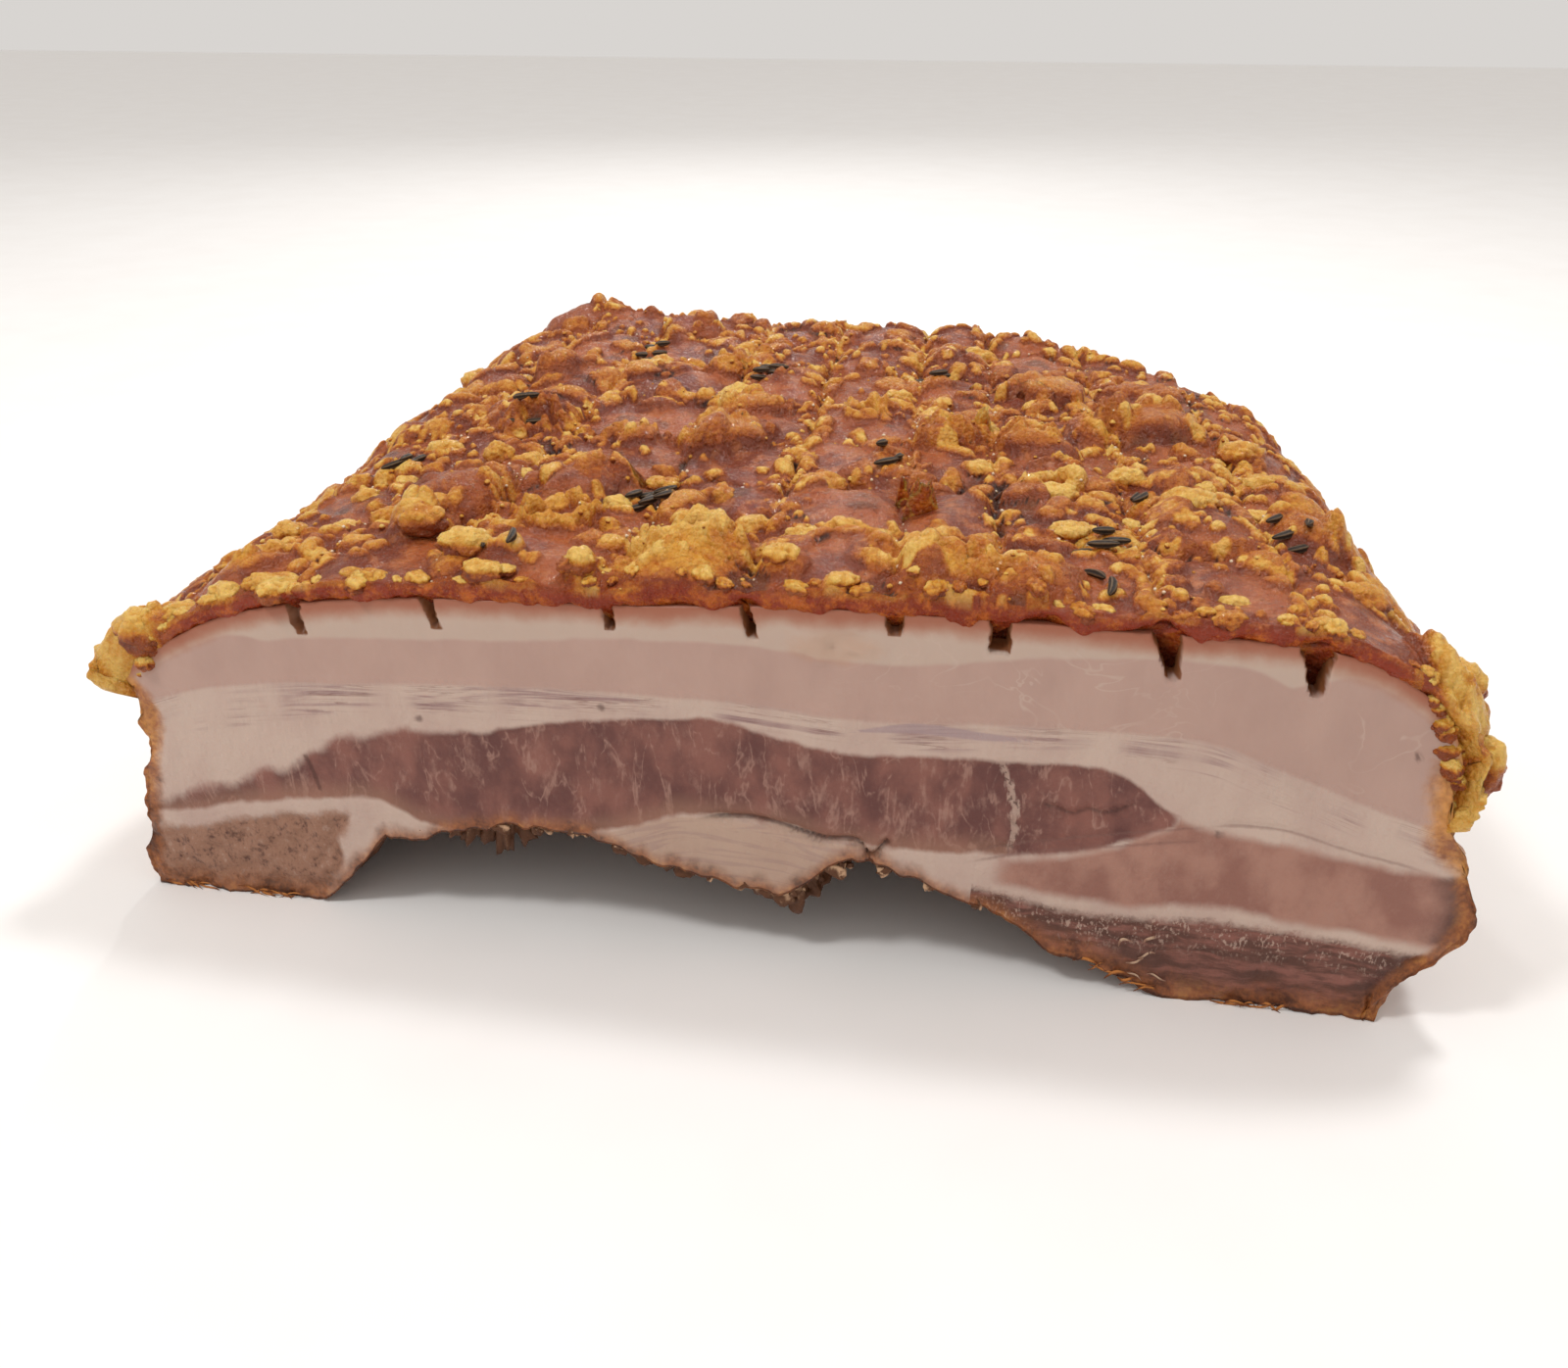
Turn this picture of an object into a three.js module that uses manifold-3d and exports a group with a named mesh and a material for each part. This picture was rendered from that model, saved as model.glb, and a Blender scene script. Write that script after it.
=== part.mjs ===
// A roast joint of pork belly, cut clean across at the front.
// Scored, blistered crackling lies on a thick fat cap. Under it run a fat seam, two lean muscles,
// the rib-side fat that roofs an arch, and two lean feet that the joint stands on.
// Millimetres, +Z up. The cut face looks towards -Y and the origin is under the joint's middle.
import * as THREE from "three";
import { mergeVertices } from "three/addons/utils/BufferGeometryUtils.js";
import Module from "manifold-3d";

const wasm = await Module();
wasm.setup();
const { clamp, lerp } = THREE.MathUtils;

// Driving sizes of the joint
const WIDTH = 236; // across the cut face, between the side crusts
const DEPTH = 200; // from the cut face to the back crust
const LEAN = -12; // how far the back sits to the left of the cut face
const NARROW_LEFT = 0.19; // each half of the back is narrower than the cut face by this share
const NARROW_RIGHT = 0.08;
const BACK_LEFT_RADIUS = 42; // plan corners at the back
const BACK_RIGHT_RADIUS = 112;
const SIDE_WAVES = [0.9, 0.6]; // the side crusts are uneven by about this, in broad and in narrow waves
const SIDE_LEVELS = [0, 8, 17, 28, 39, 48, 100]; // heights of the side crusts' corners
const RIM_HEIGHT = 47; // the rind's outer edge above the base
const CROWN_HEIGHT = 79; // no part of the bare rind is higher
const ROLL = 34; // how far in from the edge the rind rolls over
const LEFT_SWELL = 0.19; // the joint is taller by this share at its back left

// Where the layers end across the cut face
const ARCH_LEFT = -69;
const ARCH_RIGHT = 45;
const LEAN_END = 72;
const GAP = 0.4; // between neighbouring layers
const LINE_PITCH = 9; // each layer's lines have corners this far apart
const MARGIN = 17; // cutting solids reach this far past the joint

const LEFT = -WIDTH / 2;
const RIGHT = WIDTH / 2;
const FRONT = -DEPTH / 2;
const BACK = DEPTH / 2;

// Scores in the rind: lines along the depth, and lines across it
const SCORES_ALONG = [-81, -56, -24, 0, 24, 41, 66, 89];
const SCORE_PITCH_ACROSS = 27;
const SCORES_ACROSS = [1, 2, 3, 4, 5, 6, 7].map((n) => FRONT + n * SCORE_PITCH_ACROSS);
const SCORE_WIDTH = 2.6;
const SCORE_DEPTH = 1.6;
const PUFF = [0.6, 3.6]; // how high the squares of rind between the scores swell
const RIPPLE = 0.7; // and how uneven they are
const SLOT = { height: 9, width: 3.2, reach: 24, cover: 3 }; // an open score under the rind at the cut face

// Crackling. Main blisters are [across, back from the cut face, radius].
const PUFFED = [
  [-49, 4, 4.2], [-64, 37, 9], [-41, 50, 7.5], [-18, 79, 8.5], [-22, 116, 6], [12, 26, 8.5], [30, 84, 6.5],
  [54, 122, 7], [50, 80, 8.5], [78, 51, 5.5], [46, 8, 8], [76, 98, 9.5], [106, 40, 6],
];
const BURST = [[-14, 15, 5.4], [-41, 28, 5.4], [-65, 83, 5], [51, 56, 4.4]];
const FLAKE = { across: 27, back: 38, width: 6.5, height: 9 }; // a flake of rind that stands on edge
const SMALL_BLISTERS = 18;
const SMALL_RADIUS = [2.6, 4.8];
const RIM_BLISTERS = 15;
const RIM_RADIUS = [4, 6.4];

// Caraway seeds lie in loose groups of three, each [across, back from the cut face].
const SEED_GROUPS = [
  [-26, 41], [58, 24], [-83, 64], [-53, 143], [69, 52], [56, 8], [94, 44], [-16, 126], [27, 132], [-40, 8],
];
const SEEDS_IN_GROUP = 3;
const SEED_LENGTH = 5.6;
const SEED_THICKNESS = 1.5;

// Torn rags of fat under the arch, each [across, back from the cut face]
const RAGS = [[-44, 38], [-36, 118], [9, 7], [4, 80], [26, 150]];
const RAG_SIZE = [5, 5, 7];

// A smooth line through a few points [x, z] of the cut face.
function line(...points) {
  const slopes = points.map((point, i) => {
    const before = points[Math.max(i - 1, 0)];
    const after = points[Math.min(i + 1, points.length - 1)];
    return (after[1] - before[1]) / (after[0] - before[0]);
  });
  return (x) => {
    const past = points.findIndex((point) => point[0] >= x);
    const i = past < 0 ? points.length - 2 : Math.max(past - 1, 0);
    const span = points[i + 1][0] - points[i][0];
    const t = clamp((x - points[i][0]) / span, 0, 1);
    const bend = (t - 1) * (t - 1) * t * slopes[i] + t * t * (t - 1) * slopes[i + 1];
    return lerp(points[i][1], points[i + 1][1], t * t * (3 - 2 * t)) + span * bend;
  };
}

// A line that goes no lower than the base, where half a gap is added to it again.
const onBase = (rule) => (x) => Math.max(rule(x), -GAP / 2);

// Lines of the cut face, from the rind down to the base
const rindLine = line(
  [-120, 47], [-108, 55.5], [-92, 63], [-62, 68], [-20, 70], [10, 72],
  [60, 72], [92, 71], [105, 66], [114, 57], [120, 48],
);
const streakLine = line(
  [-125, 37], [-98, 45], [-60, 49], [-10, 51], [20, 49.5], [46, 51], [74, 51], [87, 47], [101, 42], [125, 35],
);
const leanLine = line(
  [-125, 17], [-92, 28], [-74, 37], [-50, 41], [-29, 45], [-7, 47],
  [15, 43], [44, 44.5], [62, 44], [LEAN_END, 37], [92, 33.5], [125, 30],
);
const muscleSplit = line([ARCH_RIGHT, 25.6], [60, 29], [LEAN_END, 35]);
const footTopLeft = line([-125, 12], [-104, 16.5], [-88, 20.5], [ARCH_LEFT, 22]);
const footTopRight = line([36, 20], [60, 16.5], [82, 17.5], [125, 14]);
const archTop = line([ARCH_LEFT, 22], [-37, 24], [-12, 26], [15, 23.5], [30, 25], [ARCH_RIGHT, 25.6]);
const archBase = line(
  [-76, 14], [-62, 18.5], [-44, 21], [-30, 21], [-21, 18.5], [-11, 15.5], [0, 14],
  [7, 13.5], [15, 19], [24, 20.2], [34, 18.3], [42, 14], [56, 7],
);
const footBaseLeft = onBase(line([-135, 0], [-86, 0], [-76, 8], [ARCH_LEFT, 17.5]));
const footBaseRight = onBase(line([ARCH_RIGHT, 12.3], [52, 8.5], [66, 3], [74, 0], [135, 0]));

// How far the side crusts stand out of the outline at each height, at the left and at the right end
const sideLeft = line([0, 2], [12, 2], [25, 0], [39, -4], [48, 0], [60, 0]);
const sideRight = line([0, -10], [11, -4], [19, 1.5], [29, 1.5], [39, -2], [60, -1]);

// Evenly spread numbers from 0 to 1: the same index always gives the same number.
const spread = (index, step) => (0.5 + index * step) % 1;
const SPREAD_X = 0.7548776662466927;
const SPREAD_Y = 0.5698402909980532;
const SPREAD_SIZE = 0.6180339887498949;
const GOLDEN_TURN = 2.399963229728653;
const sized = ([small, large], index) => lerp(small, large, spread(index, SPREAD_SIZE));

// How much taller the joint is at a place than at the same place of the cut face.
function swell(x, y) {
  const back = clamp((y - FRONT) / DEPTH, 0, 1);
  const left = clamp((20 - x) / (WIDTH / 2), 0, 1);
  return 1 + LEFT_SWELL * back * left * left;
}

// Distance in from the joint's outline, leaving out the cut face.
function edgeDistance(x, y) {
  const radius = x < 0 ? BACK_LEFT_RADIUS : BACK_RIGHT_RADIUS;
  const across = Math.abs(x) - (WIDTH / 2 - radius);
  const along = y - (BACK - radius);
  const corner = Math.hypot(Math.max(across, 0), Math.max(along, 0));
  return radius - Math.min(Math.max(across, along), 0) - corner;
}

// Distance from the middle of the cut face out to the outline, in a direction seen from above.
function edgeReach(turn) {
  let reach = 0;
  while (edgeDistance(reach * Math.cos(turn), FRONT + reach * Math.sin(turn)) > 1) reach += 0.5;
  return reach;
}

// The bare rind's height, rolled over towards the outline.
function rindHeight(x, y) {
  const inward = clamp(edgeDistance(x, y) / ROLL, 0, 1);
  const rolled = RIM_HEIGHT + (CROWN_HEIGHT - RIM_HEIGHT) * Math.sqrt(1 - (1 - inward) ** 2);
  return Math.min(rindLine(x) * swell(x, y), rolled);
}

// Where a place lies between two scores: which pair, its share from -1 to 1, and how far off the nearer is.
function betweenScores(value, from, to, scores) {
  const ends = [from, ...scores, to];
  const pair = clamp(ends.findIndex((end) => end > value) - 1, 0, ends.length - 2);
  const share = (2 * (value - ends[pair])) / (ends[pair + 1] - ends[pair]) - 1;
  const away = Math.min(...scores.map((score) => Math.abs(value - score)));
  return { pair, share: clamp(share, -1, 1), away };
}

// The rind's relief: furrows along the scores, and a swelling of its own on each square between them.
function relief(x, y) {
  const across = betweenScores(x, LEFT, RIGHT, SCORES_ALONG);
  const along = betweenScores(y, FRONT - SCORE_PITCH_ACROSS / 2, BACK, SCORES_ACROSS);
  const puff = lerp(...PUFF, spread(5 * across.pair + 11 * along.pair, SPREAD_SIZE) ** 2);
  const swelling = puff * (1 - across.share ** 2) * (1 - along.share ** 2);
  const furrow = Math.min(across.away, along.away) < SCORE_WIDTH / 4 ? SCORE_DEPTH : 0;
  return swelling - furrow + RIPPLE * Math.sin(0.31 * x + 0.7 * Math.sin(0.23 * y)) * Math.cos(0.27 * y);
}

const crackling = (x, y) => rindHeight(x, y) + relief(x, y);

// A closed geometry of positions only, as a solid that can be joined and cut.
function solid(geometry) {
  const bare = geometry.clone();
  bare.deleteAttribute("normal");
  bare.deleteAttribute("uv");
  const merged = mergeVertices(bare, 1e-4);
  const mesh = new wasm.Mesh({
    numProp: 3,
    vertProperties: new Float32Array(merged.attributes.position.array),
    triVerts: new Uint32Array(merged.index.array),
  });
  return new wasm.Manifold(mesh);
}

// The largest body of a solid, which fills what fusing sealed and drops scraps.
function mainBody(made) {
  return made.decompose().reduce((a, b) => (b.volume() > a.volume() ? b : a));
}

// A solid as a geometry again, narrowed to the back, which leans to the left.
function narrowed(made) {
  const mesh = made.getMesh();
  const geometry = new THREE.BufferGeometry();
  geometry.setAttribute("position", new THREE.BufferAttribute(new Float32Array(mesh.vertProperties), 3));
  geometry.setIndex(new THREE.BufferAttribute(new Uint32Array(mesh.triVerts), 1));
  reshape(geometry, (p) => {
    const back = (p.y - FRONT) / DEPTH;
    const narrow = p.x < 0 ? NARROW_LEFT : NARROW_RIGHT;
    p.x = p.x * (1 - narrow * back) + LEAN * back;
  });
  geometry.computeVertexNormals();
  return geometry;
}

// Moves each vertex of a geometry by a rule.
function reshape(geometry, rule) {
  const position = geometry.attributes.position;
  const point = new THREE.Vector3();
  for (let i = 0; i < position.count; i++) {
    rule(point.fromBufferAttribute(position, i));
    position.setXYZ(i, point.x, point.y, point.z);
  }
  return geometry;
}

// A layer of the joint: the band between two lines, run from the cut face to the back.
function band(low, high, from, to) {
  const lower = [];
  const upper = [];
  for (let stop = from; stop <= to; stop += LINE_PITCH) {
    const x = clamp(stop, from + GAP / 2, to - GAP / 2);
    lower.push(new THREE.Vector2(x, low(x) + GAP / 2));
    upper.unshift(new THREE.Vector2(x, high(x) - GAP / 2));
  }
  const run = { depth: DEPTH + 2 * MARGIN, steps: 4, bevelEnabled: false };
  const geometry = new THREE.ExtrudeGeometry(new THREE.Shape([...lower, ...upper]), run);
  geometry.rotateX(Math.PI / 2).translate(0, BACK + MARGIN, 0);
  return solid(reshape(geometry, (p) => (p.z *= swell(p.x, p.y))));
}

// The joint's plan outline as a solid with swelling, uneven sides and a flat cut face.
function planBody() {
  const outline = new THREE.Shape();
  outline.moveTo(LEFT, FRONT);
  outline.lineTo(RIGHT, FRONT);
  outline.lineTo(RIGHT, BACK - BACK_RIGHT_RADIUS);
  outline.absarc(RIGHT - BACK_RIGHT_RADIUS, BACK - BACK_RIGHT_RADIUS, BACK_RIGHT_RADIUS, 0, Math.PI / 2);
  outline.lineTo(LEFT + BACK_LEFT_RADIUS, BACK);
  outline.absarc(LEFT + BACK_LEFT_RADIUS, BACK - BACK_LEFT_RADIUS, BACK_LEFT_RADIUS, Math.PI / 2, Math.PI);
  outline.lineTo(LEFT, FRONT);
  const even = new THREE.Shape(outline.getSpacedPoints(52).slice(0, -1));
  const rise = { depth: SIDE_LEVELS.length - 1, steps: SIDE_LEVELS.length - 1, bevelEnabled: false };
  const [broad, narrow] = SIDE_WAVES;
  const swollen = reshape(new THREE.ExtrudeGeometry(even, rise), (p) => {
    p.z = SIDE_LEVELS[Math.round(p.z)];
    const turn = Math.atan2(p.y - FRONT, p.x);
    const uneven = broad * Math.sin(9 * turn + 0.11 * p.z) + narrow * Math.sin(23 * turn - 0.17 * p.z);
    const outward = lerp(sideRight(p.z), sideLeft(p.z), (1 - Math.cos(turn)) / 2) + uneven;
    p.x += outward * Math.cos(turn);
    if (p.y > FRONT) p.y += outward * Math.sin(turn);
  });
  return solid(swollen);
}

// Places between two ends that follow each score's lips and floor, with two more on each square.
function scoredPlaces(from, to, scores) {
  const places = [from, to];
  for (const score of scores) places.push(score - SCORE_WIDTH / 2, score, score + SCORE_WIDTH / 2);
  const ends = [from, ...scores, to];
  for (let i = 0; i + 1 < ends.length; i++) {
    places.push(lerp(ends[i], ends[i + 1], 0.3), lerp(ends[i], ends[i + 1], 0.7));
  }
  return places.sort((a, b) => a - b);
}

// A block whose top is the scored rind and whose base is far below it.
function scoredBlock() {
  const xs = scoredPlaces(LEFT - MARGIN, RIGHT + MARGIN, SCORES_ALONG);
  const ys = scoredPlaces(FRONT - MARGIN, BACK + MARGIN, SCORES_ACROSS);
  const geometry = new THREE.BoxGeometry(1, 1, 1, xs.length - 1, ys.length - 1, 1);
  const placed = (share, places) => places[Math.round((share + 0.5) * (places.length - 1))];
  const scored = reshape(geometry, (p) => {
    p.x = placed(p.x, xs);
    p.y = placed(p.y, ys);
    p.z = p.z < 0 ? -MARGIN : crackling(p.x, p.y);
  });
  return solid(scored);
}

// One puffed blister, uneven all round, half sunk in the rind.
function blister(x, y, radius, index) {
  const sides = radius > SMALL_RADIUS[1] ? 7 : 6;
  const geometry = new THREE.SphereGeometry(1, sides, sides - 2).rotateX(Math.PI / 2);
  const flat = 0.5 + 0.25 * spread(index, SPREAD_Y);
  reshape(geometry, (p) => {
    const dents = 0.16 * Math.sin(5 * p.x + index) * Math.sin(4 * p.y + 2 * index);
    p.multiplyScalar(radius * (1 + dents + 0.1 * Math.sin(7 * p.z + index)));
    p.z *= flat;
  });
  return solid(geometry.rotateZ(index).translate(x, y, crackling(x, y)));
}

// A blister that has burst: a ragged ring round a hollow.
function crater(x, y, radius, index) {
  const geometry = new THREE.TorusGeometry(radius, 0.42 * radius, 6, 10);
  reshape(geometry, (p) => {
    const turn = Math.atan2(p.y, p.x);
    p.x *= 1.25;
    p.z = p.z * (1.1 + 0.35 * Math.sin(2 * turn + index)) + 0.2 * radius * Math.sin(turn + index);
  });
  return solid(geometry.rotateZ(index).translate(x, y, crackling(x, y) + 0.2 * radius));
}

// The flake of rind that stands on edge.
function flake() {
  const y = FRONT + FLAKE.back;
  const geometry = new THREE.SphereGeometry(0.5, 7, 5).rotateX(Math.PI / 2);
  geometry.scale(FLAKE.width, FLAKE.width / 2, 2 * FLAKE.height).rotateX(-0.35).rotateY(0.15);
  return solid(geometry.translate(FLAKE.across, y, crackling(FLAKE.across, y)));
}

// One caraway seed, lying on the rind.
function seed(x, y, index) {
  const length = SEED_LENGTH * (0.85 + 0.3 * spread(index, SPREAD_SIZE));
  const geometry = new THREE.SphereGeometry(0.5, 5, 4).rotateZ(Math.PI / 2);
  geometry.scale(length, SEED_THICKNESS, SEED_THICKNESS);
  geometry.rotateY(0.5 * spread(index, SPREAD_Y) - 0.25).rotateZ(GOLDEN_TURN * index);
  return solid(geometry.translate(x, y, crackling(x, y) + 0.3 * SEED_THICKNESS));
}

// Main and burst blisters, with smaller ones spread evenly between them.
function blisters() {
  const made = PUFFED.map(([x, back, radius], i) => blister(x, FRONT + back, radius, 901 + i));
  BURST.forEach(([x, back, radius], i) => made.push(crater(x, FRONT + back, radius, 951 + i)));
  for (let i = 1; i <= SMALL_BLISTERS; i++) {
    const x = lerp(LEFT, RIGHT, lerp(0.07, 0.93, spread(i, SPREAD_X)));
    const y = lerp(FRONT, BACK, lerp(0.02, 0.85, spread(i, SPREAD_Y)));
    made.push(blister(x, y, sized(SMALL_RADIUS, i), i));
  }
  return made;
}

// A row of blisters along the rind's outer edge, from one end of the cut face round to the other.
function rimBlisters() {
  const made = [];
  for (let i = 0; i < RIM_BLISTERS; i++) {
    const turn = Math.PI * ((i + 0.5) / RIM_BLISTERS);
    const reach = edgeReach(turn);
    const [x, y] = [reach * Math.cos(turn), FRONT + reach * Math.sin(turn)];
    made.push(blister(x, y, sized(RIM_RADIUS, i), 701 + i));
  }
  return made;
}

// Seeds in their loose groups.
function seeds() {
  const made = [];
  SEED_GROUPS.forEach(([across, back], group) => {
    for (let i = 0; i < SEEDS_IN_GROUP; i++) {
      const index = group * SEEDS_IN_GROUP + i;
      const away = 2 + 5 * spread(index, SPREAD_X);
      const turn = GOLDEN_TURN * index;
      made.push(seed(across + away * Math.cos(turn), FRONT + back + away * Math.sin(turn), index));
    }
  });
  return made;
}

// An open score at the cut face: a wedge that narrows downwards and towards the back.
function slot(x) {
  const top = rindHeight(x, FRONT) - SLOT.cover;
  const geometry = new THREE.CylinderGeometry(Math.SQRT1_2, 0.17, SLOT.height, 4, 1, false, Math.PI / 4);
  geometry.rotateX(Math.PI / 2).rotateZ(Math.PI / 4).scale(SLOT.width, 2 * SLOT.reach, 1);
  return solid(geometry.translate(x, FRONT, top - SLOT.height / 2));
}

// Everything in front of the cut face.
function inFront() {
  const geometry = new THREE.BoxGeometry(2 * WIDTH, MARGIN, 4 * CROWN_HEIGHT);
  return solid(geometry.translate(0, FRONT - MARGIN / 2, 0));
}

// Torn rags of fat and membrane that hang from the roof of the arch.
function rags() {
  return RAGS.map(([x, back], i) => {
    const geometry = new THREE.SphereGeometry(1, 6, 4).scale(...RAG_SIZE).rotateY(0.4 - 0.3 * (i % 3));
    return solid(geometry.translate(x, FRONT + back, archBase(x) * swell(x, FRONT + back)));
  });
}

const body = planBody();
const roast = new THREE.Group();

// Adds one layer of the joint as a named mesh.
function addLayer(name, color, made) {
  const finish = new THREE.MeshStandardMaterial({ color, roughness: 0.45, metalness: 0 });
  const mesh = new THREE.Mesh(narrowed(mainBody(made)), finish);
  mesh.name = name;
  roast.add(mesh);
}

// The layers, from the crackling down to the feet
const [west, east] = [LEFT - MARGIN, RIGHT + MARGIN];
const aboveAll = () => CROWN_HEIGHT + 2 * MARGIN;
const belowAll = () => -MARGIN;
const leanBase = (x) => (x < ARCH_LEFT ? footTopLeft(x) : x < ARCH_RIGHT ? archTop(x) : muscleSplit(x));
const flankTop = (x) => (x <= LEAN_END ? muscleSplit(x) : leanLine(x));

const topped = [body.intersect(scoredBlock()), flake(), ...blisters(), ...rimBlisters(), ...seeds()];
const cap = wasm.Manifold.union(topped).intersect(band(streakLine, aboveAll, west, east));
const cuts = wasm.Manifold.union([inFront(), ...SCORES_ALONG.map(slot)]);
const hanging = wasm.Manifold.union(rags()).intersect(band(belowAll, archTop, ARCH_LEFT, ARCH_RIGHT));
const roof = body.intersect(band(archBase, archTop, ARCH_LEFT, ARCH_RIGHT));

addLayer("fat_cap", 0xe6d3c4, cap.subtract(cuts));
addLayer("fat_seam", 0xe9dccf, body.intersect(band(leanLine, streakLine, west, east)));
addLayer("belly_lean", 0xb5837a, body.intersect(band(leanBase, leanLine, west, LEAN_END)));
addLayer("flank_lean", 0xc09085, body.intersect(band(footTopRight, flankTop, ARCH_RIGHT, east)));
addLayer("rib_fat", 0xdcc9a8, roof.add(hanging.subtract(cuts)));
addLayer("foot_left", 0x9d7b6c, body.intersect(band(footBaseLeft, footTopLeft, west, ARCH_LEFT)));
addLayer("foot_right", 0x9d7b6c, body.intersect(band(footBaseRight, footTopRight, ARCH_RIGHT, east)));

// The origin goes under the middle of the finished joint.
const box = new THREE.Box3().setFromObject(roast);
const middle = box.getCenter(new THREE.Vector3());
roast.position.set(-middle.x, -middle.y, -box.min.z);

export default roast;
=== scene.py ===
"""Looks of a roast joint of pork belly, cut clean across at the front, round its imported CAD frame.

The joint's rules are worked out in millimetres, in the frame of its cut face, and are the same as in its
solids. Each piece is then placed in the CAD frame, in metres.
"""

import itertools
import logging
import math
from dataclasses import dataclass, field
from enum import Enum
from functools import cached_property

import bmesh
import bpy
import numpy as np
from mathutils import Matrix, Vector


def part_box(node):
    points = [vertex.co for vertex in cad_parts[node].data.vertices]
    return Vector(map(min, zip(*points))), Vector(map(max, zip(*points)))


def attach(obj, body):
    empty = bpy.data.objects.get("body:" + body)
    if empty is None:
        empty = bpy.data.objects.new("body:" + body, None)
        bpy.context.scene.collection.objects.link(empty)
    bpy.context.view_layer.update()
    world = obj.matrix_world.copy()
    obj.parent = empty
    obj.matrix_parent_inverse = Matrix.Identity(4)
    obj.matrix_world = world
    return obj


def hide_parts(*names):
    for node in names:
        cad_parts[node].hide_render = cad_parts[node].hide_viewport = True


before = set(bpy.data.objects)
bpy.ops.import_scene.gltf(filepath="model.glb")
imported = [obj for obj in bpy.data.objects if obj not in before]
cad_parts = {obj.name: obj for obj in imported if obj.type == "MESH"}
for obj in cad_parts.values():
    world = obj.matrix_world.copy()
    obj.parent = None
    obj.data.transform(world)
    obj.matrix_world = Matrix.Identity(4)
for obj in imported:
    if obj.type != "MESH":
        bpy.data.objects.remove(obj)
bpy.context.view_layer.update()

log = logging.getLogger("roast")
Array = np.ndarray
Material = bpy.types.Material
Piece = bpy.types.Object
Socket = bpy.types.NodeSocket
Colour = tuple[int, int, int]
MM = 0.001

# Steps of evenly spread numbers, most of them the same as in the solids
SPREAD_X = 0.7548776662466927
SPREAD_Y = 0.5698402909980532
SPREAD_SIZE = 0.6180339887498949
SPREAD_LENGTH = 0.4142
GOLDEN_TURN = 2.399963229728653

# Shares nearer to an end than this lie on it
TINY = 1e-6

# Distance that stands for far outside a layer
OUTSIDE = -9.0


class Slot(str, Enum):
    """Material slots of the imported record."""

    CRACKLING = "crackling"
    FAT = "fat"
    LEAN = "lean"
    RIB_LEAN = "rib_lean"


def spread(index: float | Array, step: float) -> float | Array:
    """Evenly spread number from 0 to 1 that is always the same for an index."""
    return (0.5 + index * step) % 1


def lerp(low: float | Array, high: float | Array, share: float | Array) -> float | Array:
    """Value a share of the way from low to high."""
    return low + (high - low) * share


def ease(value: Array, low: float, high: float) -> Array:
    """Smooth step from 0 where the value is low to 1 where it is high."""
    t = np.clip((value - low) / (high - low), 0, 1)
    return t * t * (3 - 2 * t)


def lattice(cell: Array, seed: int) -> Array:
    """Scattered numbers from 0 to 1, one for each whole lattice point.

    Args:
        cell: Whole lattice points, one to a row.
        seed: Number that tells one scatter from another.

    Returns:
        One number for each row.
    """
    weights = np.array((374761393, 668265263, 1103515245), np.int64)[: cell.shape[-1]]
    mixed = (cell * weights).sum(-1) + np.int64(seed) * 974711
    mixed = (mixed ^ (mixed >> 13)) * 1274126177
    mixed = mixed ^ (mixed >> 16)
    return (mixed & 0xFFFFFF) / 0xFFFFFF


def smooth_noise(points: Array, seed: int = 0) -> Array:
    """Smooth noise from -1 to 1, with features one unit wide.

    Args:
        points: Places, one to a row.
        seed: Number that tells one noise from another.

    Returns:
        One number for each row.
    """
    base = np.floor(points).astype(np.int64)
    share = points - base
    share = share * share * (3 - 2 * share)
    total = np.zeros(len(points))
    for corner in itertools.product((0, 1), repeat=points.shape[-1]):
        weight = np.prod(np.where(corner, share, 1 - share), axis=-1)
        total += weight * lattice(base + np.array(corner), seed)
    return 2 * total - 1


def rough_noise(points: Array, octaves: int, seed: int = 0) -> Array:
    """Noise from about -1 to 1 in that many layers, each half as wide and strong as the one before."""
    return sum(smooth_noise(points * 2**i, seed + i) / 2**i for i in range(octaves))


def bubble_noise(points: Array, seed: int = 0) -> Array:
    """Domes from 0 in the creases to 1 on top, crowded about one to a unit.

    Args:
        points: Places, one to a row.
        seed: Number that tells one crowd from another.

    Returns:
        One number for each row.
    """
    base = np.floor(points).astype(np.int64)
    nearest = np.full(len(points), 9.0)
    for step in itertools.product((-1, 0, 1), repeat=points.shape[-1]):
        cell = base + np.array(step)
        centre = np.stack([cell[:, i] + lattice(cell, seed + 17 * i) for i in range(points.shape[-1])], -1)
        nearest = np.minimum(nearest, ((points - centre) ** 2).sum(-1))
    return np.clip(1 - nearest, 0, 1)


@dataclass(frozen=True)
class Line:
    """A smooth line of the cut face through a few points (across, height)."""

    points: tuple[tuple[float, float], ...]

    def __call__(self, across: Array) -> Array:
        """Height of the line at each place across.

        Args:
            across: Places across the cut face.

        Returns:
            One height for each place.
        """
        x, z = np.array(self.points, float).T
        last = len(x) - 1
        after = np.minimum(np.arange(last + 1) + 1, last)
        before = np.maximum(np.arange(last + 1) - 1, 0)
        slope = (z[after] - z[before]) / (x[after] - x[before])
        i = np.clip(np.searchsorted(x, across) - 1, 0, last - 1)
        span = x[i + 1] - x[i]
        t = np.clip((across - x[i]) / span, 0, 1)
        bend = (t - 1) ** 2 * t * slope[i] + t * t * (t - 1) * slope[i + 1]
        return lerp(z[i], z[i + 1], t * t * (3 - 2 * t)) + span * bend


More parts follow.
